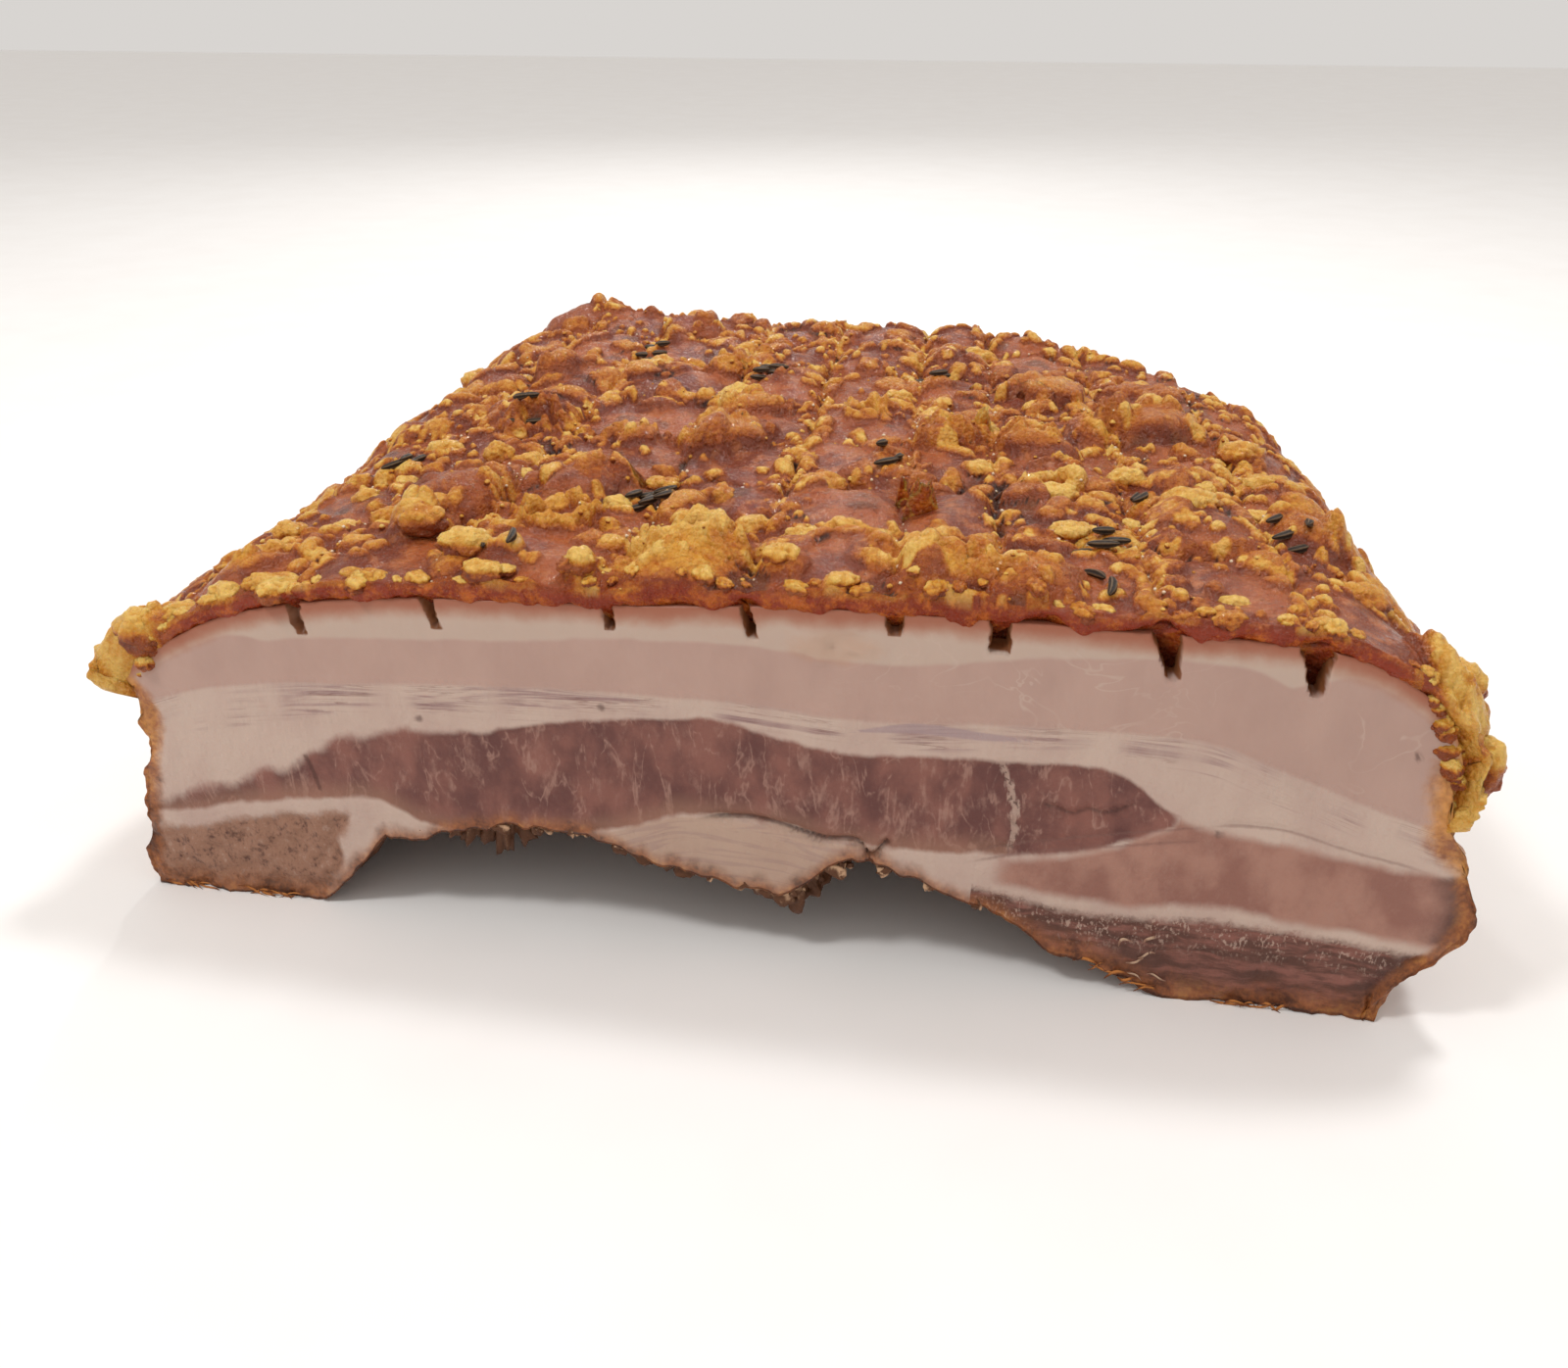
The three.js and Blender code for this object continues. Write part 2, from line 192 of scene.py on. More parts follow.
@dataclass(frozen=True)
class Joint:
    """Sizes and rules of the whole joint, in millimetres, as its solids have them."""

    width: float = 236
    depth: float = 200
    lean: float = -12
    narrow_left: float = 0.19
    narrow_right: float = 0.08
    back_left_radius: float = 42
    back_right_radius: float = 112
    side_waves: tuple[float, float] = (0.9, 0.6)
    rim_height: float = 47
    crown_height: float = 79
    roll: float = 34
    left_swell: float = 0.19
    arch_left: float = -69
    arch_right: float = 45
    lean_end: float = 72
    gap: float = 0.4
    scores_along: tuple[float, ...] = (-81, -56, -24, 0, 24, 41, 66, 89)
    score_pitch_across: float = 27
    score_depth: float = 1.6
    puff: tuple[float, float] = (0.6, 3.6)
    ripple: float = 0.7

    # Lines of the cut face, from the rind down to the base
    rind: Line = Line((
        (-120, 47), (-108, 55.5), (-92, 63), (-62, 68), (-20, 70), (10, 72),
        (60, 72), (92, 71), (105, 66), (114, 57), (120, 48),
    ))
    white_fat: Line = Line((
        (-120, 40), (-101, 51), (-82, 56), (-46, 58.6), (-10, 62), (22, 60.5), (53, 64), (69, 65),
        (84, 63), (120, 40),
    ))
    streak: Line = Line((
        (-125, 37), (-98, 45), (-60, 49), (-10, 51), (20, 49.5), (46, 51), (74, 51), (87, 47), (101, 42),
        (125, 35),
    ))
    streak_foot: Line = Line((
        (-120, 33), (-98, 37), (-78, 42), (-59, 44), (-41, 44), (-25, 47.4), (-11, 47.4), (6, 46.5),
        (32, 45.6), (48, 47.4), (61, 47.4), (74, 45.6), (86, 41), (100, 37), (120, 31),
    ))
    lean_top: Line = Line((
        (-125, 17), (-92, 28), (-74, 37), (-50, 41), (-29, 45), (-7, 47),
        (15, 43), (44, 44.5), (62, 44), (72, 37), (92, 33.5), (125, 30),
    ))
    muscle_split: Line = Line(((45, 25.6), (60, 29), (72, 35)))
    foot_top_left: Line = Line(((-125, 12), (-104, 16.5), (-88, 20.5), (-69, 22)))
    foot_top_right: Line = Line(((36, 20), (60, 16.5), (82, 17.5), (125, 14)))
    arch_base: Line = Line((
        (-76, 14), (-62, 18.5), (-44, 21), (-30, 21), (-21, 18.5), (-11, 15.5), (0, 14),
        (7, 13.5), (15, 19), (24, 20.2), (34, 18.3), (42, 14), (56, 7),
    ))
    foot_base_left: Line = Line(((-135, 0), (-86, 0), (-76, 8), (-69, 17.5)))
    foot_base_right: Line = Line(((45, 12.3), (52, 8.5), (66, 3), (74, 0), (135, 0)))

    # How far the side crusts stand out at each height, at the left and at the right end
    side_left: Line = Line(((0, 2), (12, 2), (25, 0), (39, -4), (48, 0), (60, 0)))
    side_right: Line = Line(((0, -10), (11, -4), (19, 1.5), (29, 1.5), (39, -2), (60, -1)))

    @property
    def front(self) -> float:
        """Place of the cut face along the depth."""
        return -self.depth / 2

    @property
    def scores_across(self) -> tuple[float, ...]:
        """Places along the depth of the scores that run across."""
        count = int((self.depth - 1) // self.score_pitch_across)
        return tuple(self.front + (i + 1) * self.score_pitch_across for i in range(count))

    def swell(self, x: Array, y: Array) -> Array:
        """How much taller the joint is than at the same place of its cut face."""
        back = np.clip((y - self.front) / self.depth, 0, 1)
        left = np.clip((20 - x) / (self.width / 2), 0, 1)
        return 1 + self.left_swell * back * left**2

    def edge_distance(self, x: Array, y: Array) -> Array:
        """Distance in from the outline seen from above, leaving out the cut face."""
        radius = np.where(x < 0, self.back_left_radius, self.back_right_radius)
        across = np.abs(x) - (self.width / 2 - radius)
        along = y - (self.depth / 2 - radius)
        corner = np.hypot(np.maximum(across, 0), np.maximum(along, 0))
        return radius - np.minimum(np.maximum(across, along), 0) - corner

    def reach(self, turn: Array) -> Array:
        """Distance from the middle of the cut face out to the outline.

        Args:
            turn: Directions seen from above, in radians.

        Returns:
            One distance for each direction.
        """
        low = np.zeros_like(turn)
        high = np.full_like(turn, self.width + self.depth)
        for _ in range(32):
            middle = (low + high) / 2
            inside = self.edge_distance(middle * np.cos(turn), self.front + middle * np.sin(turn)) > 0
            low = np.where(inside, middle, low)
            high = np.where(inside, high, middle)
        return low

    def plan(self, across: Array, along: Array) -> tuple[Array, Array]:
        """Places of a rectangle's points in the outline with its round back corners.

        Args:
            across: Shares of half the width, from -1 to 1.
            along: Shares of the depth, from 0 at the cut face to 1.

        Returns:
            The places across and along the depth.
        """
        x = across * self.width / 2
        y = along * self.depth
        turn = np.arctan2(y, x)
        with np.errstate(divide="ignore"):
            square = np.minimum(self.width / 2 / np.abs(np.cos(turn)), self.depth / np.abs(np.sin(turn)))
        share = self.reach(turn) / square
        return x * share, self.front + y * share

    def outward(self, turn: Array, z: Array) -> Array:
        """How far the side crust stands out of the outline.

        Args:
            turn: Directions from the middle of the cut face, in radians.
            z: Heights above the base.

        Returns:
            One distance for each place.
        """
        broad, narrow = self.side_waves
        stands = lerp(self.side_right(z), self.side_left(z), (1 - np.cos(turn)) / 2)
        return stands + broad * np.sin(9 * turn + 0.11 * z) + narrow * np.sin(23 * turn - 0.17 * z)

    def rind_height(self, x: Array, y: Array) -> Array:
        """Height of the bare rind, rolled over towards the outline."""
        inward = np.clip(self.edge_distance(x, y) / self.roll, 0, 1)
        rolled = self.rim_height + (self.crown_height - self.rim_height) * np.sqrt(1 - (1 - inward) ** 2)
        return np.minimum(self.rind(x) * self.swell(x, y), rolled)

    def score_distance(self, x: Array, y: Array) -> Array:
        """Distance to the nearest score of the rind."""
        along = np.min([np.abs(x - score) for score in self.scores_along], axis=0)
        across = np.min([np.abs(y - score) for score in self.scores_across], axis=0)
        return np.minimum(along, across)

    def swelling(self, x: Array, y: Array) -> Array:
        """How high the rind swells on its own square between the scores, with its ripple."""
        across = (-self.width / 2, *self.scores_along, self.width / 2)
        along = (self.front - self.score_pitch_across / 2, *self.scores_across, self.depth / 2)
        pairs, shares = [], []
        for value, ends in ((x, np.array(across)), (y, np.array(along))):
            pair = np.clip(np.searchsorted(ends, value, side="right") - 1, 0, len(ends) - 2)
            share = 2 * (value - ends[pair]) / (ends[pair + 1] - ends[pair]) - 1
            pairs.append(pair)
            shares.append(np.clip(share, -1, 1))
        puff = lerp(*self.puff, spread(5 * pairs[0] + 11 * pairs[1], SPREAD_SIZE) ** 2)
        ripple = self.ripple * np.sin(0.31 * x + 0.7 * np.sin(0.23 * y)) * np.cos(0.27 * y)
        return puff * (1 - shares[0] ** 2) * (1 - shares[1] ** 2) + ripple

    def crackling(self, x: Array, y: Array) -> Array:
        """Height of the scored rind, without its furrows."""
        return self.rind_height(x, y) + self.swelling(x, y)

    def strewn(self, index: Array, across: float, along: float) -> tuple[Array, Array]:
        """Places spread evenly over the rind by two steps, one for each index."""
        x = lerp(-self.width / 2, self.width / 2, spread(index, across))
        return x, lerp(self.front, self.depth / 2, spread(index, along))

    def underside(self, x: Array, y: Array) -> Array:
        """Height of the joint's underside: two feet and the roof of the arch between them."""
        left = np.maximum(self.foot_base_left(x), 0)
        right = np.maximum(self.foot_base_right(x), 0)
        roof = self.arch_base(x)
        section = np.where(x < self.arch_left, left, np.where(x < self.arch_right, roof, right))
        return section * self.swell(x, y)

    @cached_property
    def shift(self) -> Array:
        """How far the CAD frame lies from the joint's own frame."""
        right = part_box("belly_lean")[1].x / MM - (self.lean_end - self.gap / 2)
        back = min(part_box(node)[0].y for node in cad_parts) / MM - self.front
        return np.array((right, back, 0))

    def place(self, points: Array) -> Array:
        """Points of the joint's own frame, placed in the CAD frame.

        Args:
            points: Places in millimetres, one to a row.

        Returns:
            Places in metres, one to a row.
        """
        placed = points.copy()
        back = (points[:, 1] - self.front) / self.depth
        narrow = np.where(points[:, 0] < 0, self.narrow_left, self.narrow_right)
        placed[:, 0] = points[:, 0] * (1 - narrow * back) + self.lean * back
        return (placed + self.shift) * MM


JOINT = Joint()


class Graph:
    """A material's node graph, with short ways to add the nodes that the finishes use."""

    def __init__(self, name: str) -> None:
        """Starts an empty graph on a new material."""
        self.material = bpy.data.materials.new(name)
        self.material.use_nodes = True
        self.tree = self.material.node_tree
        self.tree.nodes.clear()
        self.coordinates = self.node("ShaderNodeTexCoord").outputs["Object"]

    def node(self, kind: str, **settings: object) -> bpy.types.Node:
        """A new node with its settings."""
        made = self.tree.nodes.new(kind)
        for name, value in settings.items():
            setattr(made, name, value)
        return made

    def put(self, socket: Socket, value: object) -> None:
        """Links an output to a socket, or sets the socket's own value."""
        if isinstance(value, Socket):
            self.tree.links.new(value, socket)
        else:
            socket.default_value = value

    def attribute(self, name: str) -> Socket:
        """A number that the piece's mesh holds."""
        return self.node("ShaderNodeAttribute", attribute_name=name).outputs["Fac"]

    def stretched(self, x: float, y: float, z: float) -> Socket:
        """Object coordinates scaled to patterns with that many features to a metre along each axis."""
        mapping = self.node("ShaderNodeMapping")
        self.put(mapping.inputs["Vector"], self.coordinates)
        self.put(mapping.inputs["Scale"], (x, y, z))
        return mapping.outputs["Vector"]

    def even(self, scale: float) -> Socket:
        """Object coordinates scaled to patterns with that many features to a metre."""
        return self.stretched(scale, scale, scale)

    def vector(self, operation: str, a: object, b: object) -> Socket:
        """The result of one sum of vectors."""
        made = self.node("ShaderNodeVectorMath", operation=operation)
        self.put(made.inputs[0], a)
        self.put(made.inputs[1], b)
        return made.outputs["Vector"]

    def bent(self, vector: object, amount: float) -> Socket:
        """Coordinates bent to and fro by that many units."""
        wave = self.node("ShaderNodeTexNoise")
        self.put(wave.inputs["Vector"], vector)
        self.put(wave.inputs["Scale"], 0.8)
        centred = self.vector("SUBTRACT", wave.outputs["Color"], (0.5, 0.5, 0.5))
        return self.vector("ADD", vector, self.vector("MULTIPLY", centred, (amount, amount, amount)))

    def combine(self, x: object, y: object, z: object) -> Socket:
        """A vector of three values."""
        made = self.node("ShaderNodeCombineXYZ")
        for socket, value in zip(made.inputs, (x, y, z)):
            self.put(socket, value)
        return made.outputs["Vector"]

    def noise(
        self, vector: object, detail: float = 4, rough: float = 0.55, bend: float = 0
    ) -> Socket:
        """Noise from 0 to 1 with features one unit of the vector wide."""
        made = self.node("ShaderNodeTexNoise")
        self.put(made.inputs["Vector"], vector)
        for name, value in (("Scale", 1.0), ("Detail", detail), ("Roughness", rough), ("Distortion", bend)):
            self.put(made.inputs[name], value)
        return made.outputs["Fac"]

    def cells(self, vector: object) -> Socket:
        """Distance to the points of cells one unit of the vector wide."""
        made = self.node("ShaderNodeTexVoronoi", feature="F1")
        self.put(made.inputs["Vector"], vector)
        self.put(made.inputs["Scale"], 1.0)
        return made.outputs["Distance"]

    def math(self, operation: str, a: object, b: object = 0.0) -> Socket:
        """The result of one sum."""
        made = self.node("ShaderNodeMath", operation=operation)
        self.put(made.inputs[0], a)
        self.put(made.inputs[1], b)
        return made.outputs["Value"]

    def product(self, *values: object) -> Socket:
        """The product of several values."""
        result = values[0]
        for value in values[1:]:
            result = self.math("MULTIPLY", result, value)
        return result

    def offset(self, value: object, noise: object, amount: float) -> Socket:
        """A value moved up or down by a noise from 0 to 1."""
        centred = self.math("SUBTRACT", noise, 0.5)
        return self.math("ADD", value, self.math("MULTIPLY", centred, amount))

    def step(self, value: object, low: float, high: float) -> Socket:
        """Smooth step from 0 where the value is low to 1 where it is high."""
        falling = low > high
        made = self.node("ShaderNodeMapRange", interpolation_type="SMOOTHSTEP")
        self.put(made.inputs["Value"], value)
        self.put(made.inputs["From Min"], min(low, high))
        self.put(made.inputs["From Max"], max(low, high))
        self.put(made.inputs["To Min"], 1.0 if falling else 0.0)
        self.put(made.inputs["To Max"], 0.0 if falling else 1.0)
        return made.outputs["Result"]

    def ragged(
        self, name: str, noise: object, amount: float, low: float, high: float
    ) -> Socket:
        """Smooth step of a number that the mesh holds, its edge made uneven by a noise."""
        return self.step(self.offset(self.attribute(name), noise, amount), low, high)

    def away(self, name: str, noise: object, amount: float) -> Socket:
        """Distance to a line of the cut face, made uneven by a noise."""
        return self.offset(self.math("ABSOLUTE", self.attribute(name)), noise, amount)

    def thread(self, noise: object, middle: float, half: float) -> Socket:
        """Thin threads where a noise crosses a value."""
        return self.step(self.math("ABSOLUTE", self.math("SUBTRACT", noise, middle)), half, 0.0)

    def tint(self, colour: object, added: object, *shares: object) -> Socket:
        """A colour with another laid over it, by the product of some shares."""
        return self.blend(self.product(*shares), colour, added)

    def blend(self, share: object, first: object, second: object) -> Socket:
        """The first colour where the share is 0 and the second where it is 1."""
        made = self.node("ShaderNodeMix", data_type="RGBA")
        self.put(made.inputs["Factor"], share)
        for socket, value in ((made.inputs[6], first), (made.inputs[7], second)):
            self.put(socket, value if isinstance(value, Socket) else linear(value))
        return made.outputs[2]

    def ramp(self, value: object, stops: tuple[tuple[float, Colour], ...]) -> Socket:
        """A run of colours along a value from 0 to 1."""
        made = self.node("ShaderNodeValToRGB")
        elements = made.color_ramp.elements
        while len(elements) < len(stops):
            elements.new(0.5)
        for element, (place, colour) in zip(elements, stops):
            element.position = place
            element.color = linear(colour)
        self.put(made.inputs["Fac"], value)
        return made.outputs["Color"]

    def bump(self, height: object, distance: float) -> Socket:
        """A fine relief of that depth in millimetres."""
        made = self.node("ShaderNodeBump")
        self.put(made.inputs["Strength"], 1.0)
        self.put(made.inputs["Distance"], distance * MM)
        self.put(made.inputs["Height"], height)
        return made.outputs["Normal"]

    def surface(self, **sockets: object) -> Material:
        """Ends the graph in a principled surface with those sockets and returns the material."""
        shader = self.node("ShaderNodeBsdfPrincipled")
        for name, value in sockets.items():
            self.put(shader.inputs[name.replace("_", " ")], value)
        output = self.node("ShaderNodeOutputMaterial")
        self.tree.links.new(shader.outputs["BSDF"], output.inputs["Surface"])
        return self.material


def linear(colour: Colour) -> tuple[float, float, float, float]:
    """A colour of 0 to 255 a channel as the scene's linear colour."""
    channels = [((c / 255 + 0.055) / 1.055) ** 2.4 for c in colour]
    return (*channels, 1.0)


@dataclass(frozen=True)
class CracklingFinish:
    """Crisp rind: mauve-brown where it is smooth, orange to golden where it has puffed."""

    smooth: Colour = (160, 84, 44)
    dusky: Colour = (118, 54, 30)
    tan: Colour = (180, 108, 62)
    rust: Colour = (138, 44, 10)
    amber: Colour = (190, 96, 24)
    # Dark brown of char specks, also laid on as painted shade
    burnt_and_shade: Colour = (44, 24, 16)
    runs: tuple[tuple[float, Colour], ...] = (
        (0.2, (126, 54, 24)), (0.36, (154, 74, 25)), (0.54, (188, 110, 34)),
        (0.74, (212, 148, 52)), (1.0, (232, 188, 98)),
    )

    def build(self) -> Material:
        """The material, which reads how far each place has puffed, how much painted shade and char it has,
        and if it is cut rind.
        """
        graph = Graph("crackling")
        broad = graph.noise(graph.even(45), detail=3)
        middle = graph.noise(graph.even(260))
        fine = graph.noise(graph.even(1100), rough=0.65)
        crisp = graph.offset(graph.offset(graph.attribute("crisp"), middle, 0.35), fine, 0.6)
        rind = graph.blend(graph.step(graph.offset(broad, middle, 0.5), 0.4, 0.62), self.dusky, self.smooth)
        rind = graph.tint(rind, self.tan, graph.step(graph.offset(middle, fine, 0.4), 0.48, 0.72), 0.75)
        rind = graph.tint(rind, self.burnt_and_shade, graph.step(fine, 0.58, 0.7), 0.45)
        puffed = graph.step(crisp, 0.16, 0.42)
        colour = graph.blend(puffed, rind, graph.ramp(crisp, self.runs))
        mixed = graph.offset(middle, fine, 0.6)
        cut = graph.blend(graph.step(mixed, 0.44, 0.72), self.rust, self.amber)
        colour = graph.blend(graph.attribute("rust"), colour, cut)
        # Painted shade in furrows, creases, hollows and under lumps, with some real char, laid on in a dark
        # brown
        colour = graph.tint(colour, self.burnt_and_shade, graph.ragged("dark", middle, 0.5, 0.3, 0.9), 0.9)
        beads = graph.cells(graph.bent(graph.even(950), 0.4))
        pores = graph.math("SUBTRACT", fine, graph.product(beads, 0.5))
        depth = graph.math("ADD", graph.product(puffed, 0.5), 0.5)
        rough = graph.product(graph.step(fine, 0.38, 0.62), 0.3)
        return graph.surface(
            Base_Color=colour,
            Roughness=graph.math("ADD", rough, 0.06),
            Normal=graph.bump(graph.product(pores, depth), 0.9),
            Subsurface_Weight=0.2,
            Subsurface_Radius=(1.0, 0.45, 0.15),
            Subsurface_Scale=0.0016,
            Specular_IOR_Level=0.34,
        )


@dataclass(frozen=True)
class MeatFinish:
    """The cut layers of fat and lean, and the roast crust round them."""

    white: Colour = (188, 164, 149)
    pink: Colour = (182, 150, 137)
    pink_deep: Colour = (174, 142, 130)
    cream: Colour = (194, 170, 156)
    cream_deep: Colour = (184, 157, 145)
    wisp: Colour = (150, 120, 117)
    lens: Colour = (162, 138, 138)
    seam: Colour = (122, 86, 78)
    lean: Colour = (134, 86, 75)
    lean_deep: Colour = (98, 58, 53)
    lean_pale: Colour = (164, 125, 111)
    lean_tan: Colour = (150, 110, 90)
    flank: Colour = (166, 122, 106)
    flank_deep: Colour = (142, 97, 84)
    foot: Colour = (150, 110, 89)
    foot_deep: Colour = (90, 57, 47)
    shred: Colour = (182, 154, 139)
    # Char of burnt edges and dark spots, also laid on as the painted shade of gapes and cracks
    char_and_gap_shade: Colour = (68, 36, 28)
    stain: Colour = (150, 68, 32)
    honey: Colour = (184, 128, 82)
    crust: Colour = (150, 88, 46)
    crust_deep: Colour = (80, 42, 22)
    golden: Colour = (206, 142, 70)
    hollow: Colour = (120, 72, 42)
    # Cream of the flap, darkened with painted shade of the arch
    flap: Colour = (172, 140, 118)

    def fats(self, graph: Graph) -> Socket:
        """Colour of the fat layers from the rind down to the lean."""
        drift = graph.noise(graph.even(60), detail=3)
        upright = graph.noise(graph.stretched(80, 60, 45))
        pink = graph.blend(graph.step(upright, 0.3, 0.72), self.pink, self.pink_deep)
        fat = graph.blend(graph.ragged("white", drift, 3.0, -0.5, 0.5), pink, self.white)
        veins = graph.thread(graph.noise(graph.stretched(70, 50, 110), detail=3, bend=0.8), 0.5, 0.018)
        fat = graph.tint(fat, self.cream, veins, graph.attribute("veined"), graph.step(drift, 0.42, 0.6), 0.5)
        below = graph.ragged("streak", drift, 1.5, 0.5, -0.5)
        seam = graph.blend(graph.step(upright, 0.35, 0.7), self.cream, self.cream_deep)
        fat = graph.blend(below, fat, seam)
        bunch = graph.step(graph.noise(graph.stretched(55, 20, 25), detail=2), 0.42, 0.58)
        zone = graph.product(below, graph.step(graph.attribute("streak_foot"), -1.2, 0.6), bunch)
        wisps = graph.noise(self.along(graph, "streak", 0.6), detail=5, rough=0.6, bend=0.7)
        fat = graph.tint(fat, self.wisp, graph.step(wisps, 0.47, 0.6), zone, 0.9)
        strands = graph.noise(self.along(graph, "streak", 0.9), rough=0.6, bend=0.7)
        fat = graph.tint(fat, self.cream, graph.step(strands, 0.56, 0.64), zone, 0.7)
        lines = graph.thread(strands, 0.47, 0.03)
        fat = graph.tint(fat, self.seam, lines, zone, graph.step(drift, 0.35, 0.6), 0.75)
        fat = graph.tint(fat, self.lens, graph.step(graph.attribute("lens"), -0.1, 0.35), 0.8)
        folds = graph.noise(self.along(graph, "lean_foot", 0.32), detail=3, bend=1.2)
        # The flap's cream tone, darkened as painted shade of the arch, with faint fold lines
        flap = graph.product(graph.attribute("flap"), graph.step(graph.attribute("lean_foot"), 0.2, -0.6))
        fat = graph.tint(fat, self.flap, flap, 0.6)
        return graph.tint(fat, self.wisp, graph.thread(folds, 0.5, 0.08), flap, 0.35)

    def along(self, graph: Graph, line: str, fineness: float) -> Socket:
        """Coordinates that run along a line, with that many features to a millimetre across it."""
        layer = graph.combine(0.0, 0.0, graph.product(graph.attribute(line), fineness))
        return graph.vector("ADD", graph.stretched(30, 20, 0), layer)

    def leans(self, graph: Graph, fat: Socket) -> Socket:
        """Colour with the lean muscles laid into the fat."""
        drift = graph.noise(graph.stretched(115, 60, 80), detail=5)
        grain = graph.noise(graph.stretched(360, 160, 170), detail=5, rough=0.65)
        fine = graph.noise(graph.stretched(2000, 900, 1100), detail=2)
        tone = graph.offset(grain, fine, 0.3)
        fibres = graph.product(graph.step(tone, 0.5, 0.78), 0.5)
        patches = graph.step(drift, 0.36, 0.64)
        meat = graph.blend(fibres, graph.blend(patches, self.lean_deep, self.lean), self.lean_pale)
        strings = graph.noise(graph.stretched(170, 60, 55), detail=3, rough=0.6, bend=0.6)
        strings = graph.product(graph.thread(strings, 0.5, 0.03), graph.step(tone, 0.38, 0.6))
        meat = graph.tint(meat, self.lean_pale, strings, 0.6)
        meat = graph.tint(meat, self.lean_tan, graph.ragged("lean_foot", drift, 5.0, 5.0, 0.0), 0.6)
        colour = graph.blend(graph.ragged("lean", drift, 3.6, -0.5, 0.7), fat, meat)
        tender = graph.blend(fibres, graph.blend(patches, self.flank_deep, self.flank), self.lean_pale)
        colour = graph.blend(graph.ragged("flank", drift, 4.0, -1.0, 1.2), colour, tender)
        crumb = graph.noise(graph.even(420), detail=5, rough=0.7)
        grit = graph.offset(crumb, fine, 0.35)
        left = graph.blend(graph.step(grit, 0.28, 0.52), self.foot_deep, self.foot)
        left = graph.tint(left, self.shred, graph.step(grit, 0.56, 0.74), 0.5)
        rows = graph.noise(graph.stretched(110, 160, 620), rough=0.65)
        right = graph.blend(graph.step(rows, 0.4, 0.66), self.foot_deep, self.lean)
        high = graph.step(graph.attribute("foot"), 9.0, 3.0)
        specks = graph.product(graph.step(fine, 0.5, 0.62), graph.step(crumb, 0.44, 0.58))
        right = graph.tint(right, self.shred, specks, high, 0.75)
        feet = graph.blend(graph.attribute("right_foot"), left, right)
        return graph.blend(graph.ragged("foot", crumb, 4.0, -1.0, 1.4), colour, feet)

    def marks(self, graph: Graph, colour: Socket) -> Socket:
        """Colour with the fine folds, tear and spots of the cut face, and painted shade in its gape and
        cracks.
        """
        fine = graph.noise(graph.even(900), detail=2)
        fold = graph.step(graph.away("fold", fine, 0.4), 0.5, 0.0)
        colour = graph.tint(colour, self.seam, fold, graph.attribute("folded"), 0.4)
        tear = graph.away("tear", graph.noise(graph.stretched(1300, 700, 330), detail=3), 3.6)
        torn = graph.attribute("torn")
        colour = graph.tint(colour, self.shred, graph.step(tear, 0.9, 0.2), torn, 0.8)
        pits = graph.product(graph.step(fine, 0.56, 0.66), graph.step(tear, 1.2, 0.4))
        colour = graph.tint(colour, self.char_and_gap_shade, pits, torn, 0.7)
        # Painted shade of the open gape and crack lines, laid on in the dark char colour
        gape = graph.step(graph.away("gape", fine, 0.5), 0.6, 0.0)
        colour = graph.tint(colour, self.char_and_gap_shade, gape, graph.attribute("gaping"), 0.6)
        return graph.tint(colour, self.char_and_gap_shade, graph.ragged("spot", fine, 0.4, 0.15, 0.7), 0.6)

    def build(self) -> Material:
        """The material, which reads how far each place lies inside each layer."""
        graph = Graph("meat")
        colour = self.marks(graph, self.leans(graph, self.fats(graph)))
        drift = graph.noise(graph.even(220))
        fine = graph.noise(graph.even(1200), detail=3)
        colour = graph.tint(colour, self.honey, graph.ragged("raw", drift, 0.8, 0.1, 0.5), 0.2)
        colour = graph.tint(colour, self.honey, graph.ragged("under_rind", drift, 2.5, 5.4, 2.4), 0.25)
        colour = graph.tint(colour, self.stain, graph.ragged("under_rind", drift, 2.5, 5.2, 1.4), 0.75)
        colour = graph.tint(colour, self.char_and_gap_shade, graph.ragged("burn", drift, 0.5, 0.2, 0.9), 0.85)
        gold = graph.math("ADD", graph.offset(drift, fine, 0.5), graph.product(graph.attribute("gold"), 0.25))
        brown = graph.ramp(gold, ((0.3, self.crust_deep), (0.55, self.crust), (0.85, self.golden)))
        colour = graph.tint(colour, brown, graph.ragged("base", drift, 1.4, 1.2, 0.0), 0.85)
        colour = graph.tint(colour, brown, graph.ragged("edge", drift, 1.3, 1.1, 0.4), 0.9)
        outside = graph.ragged("outside", drift, 0.3, 0.2, 0.8)
        colour = graph.tint(colour, brown, outside, 0.92)
        colour = graph.blend(graph.step(graph.attribute("open_score"), -0.45, -0.15), colour, self.hollow)
        fibre = graph.noise(graph.stretched(700, 400, 260))
        relief = graph.math("ADD", graph.product(fibre, 0.6), graph.product(fine, 0.4))
        uneven = graph.step(graph.attribute("smooth_fat"), 1.0, 0.0)
        depth = graph.math("ADD", graph.product(uneven, 0.8), 0.2)
        depth = graph.math("ADD", depth, graph.product(outside, 2.0))
        return graph.surface(
            Base_Color=colour,
            Roughness=graph.math("ADD", graph.product(fine, 0.25), 0.3),
            Normal=graph.bump(graph.product(relief, depth), 0.45),
            Subsurface_Weight=0.12,
            Subsurface_Radius=(1.0, 0.45, 0.3),
            Subsurface_Scale=0.0025,
            Specular_IOR_Level=0.3,
        )


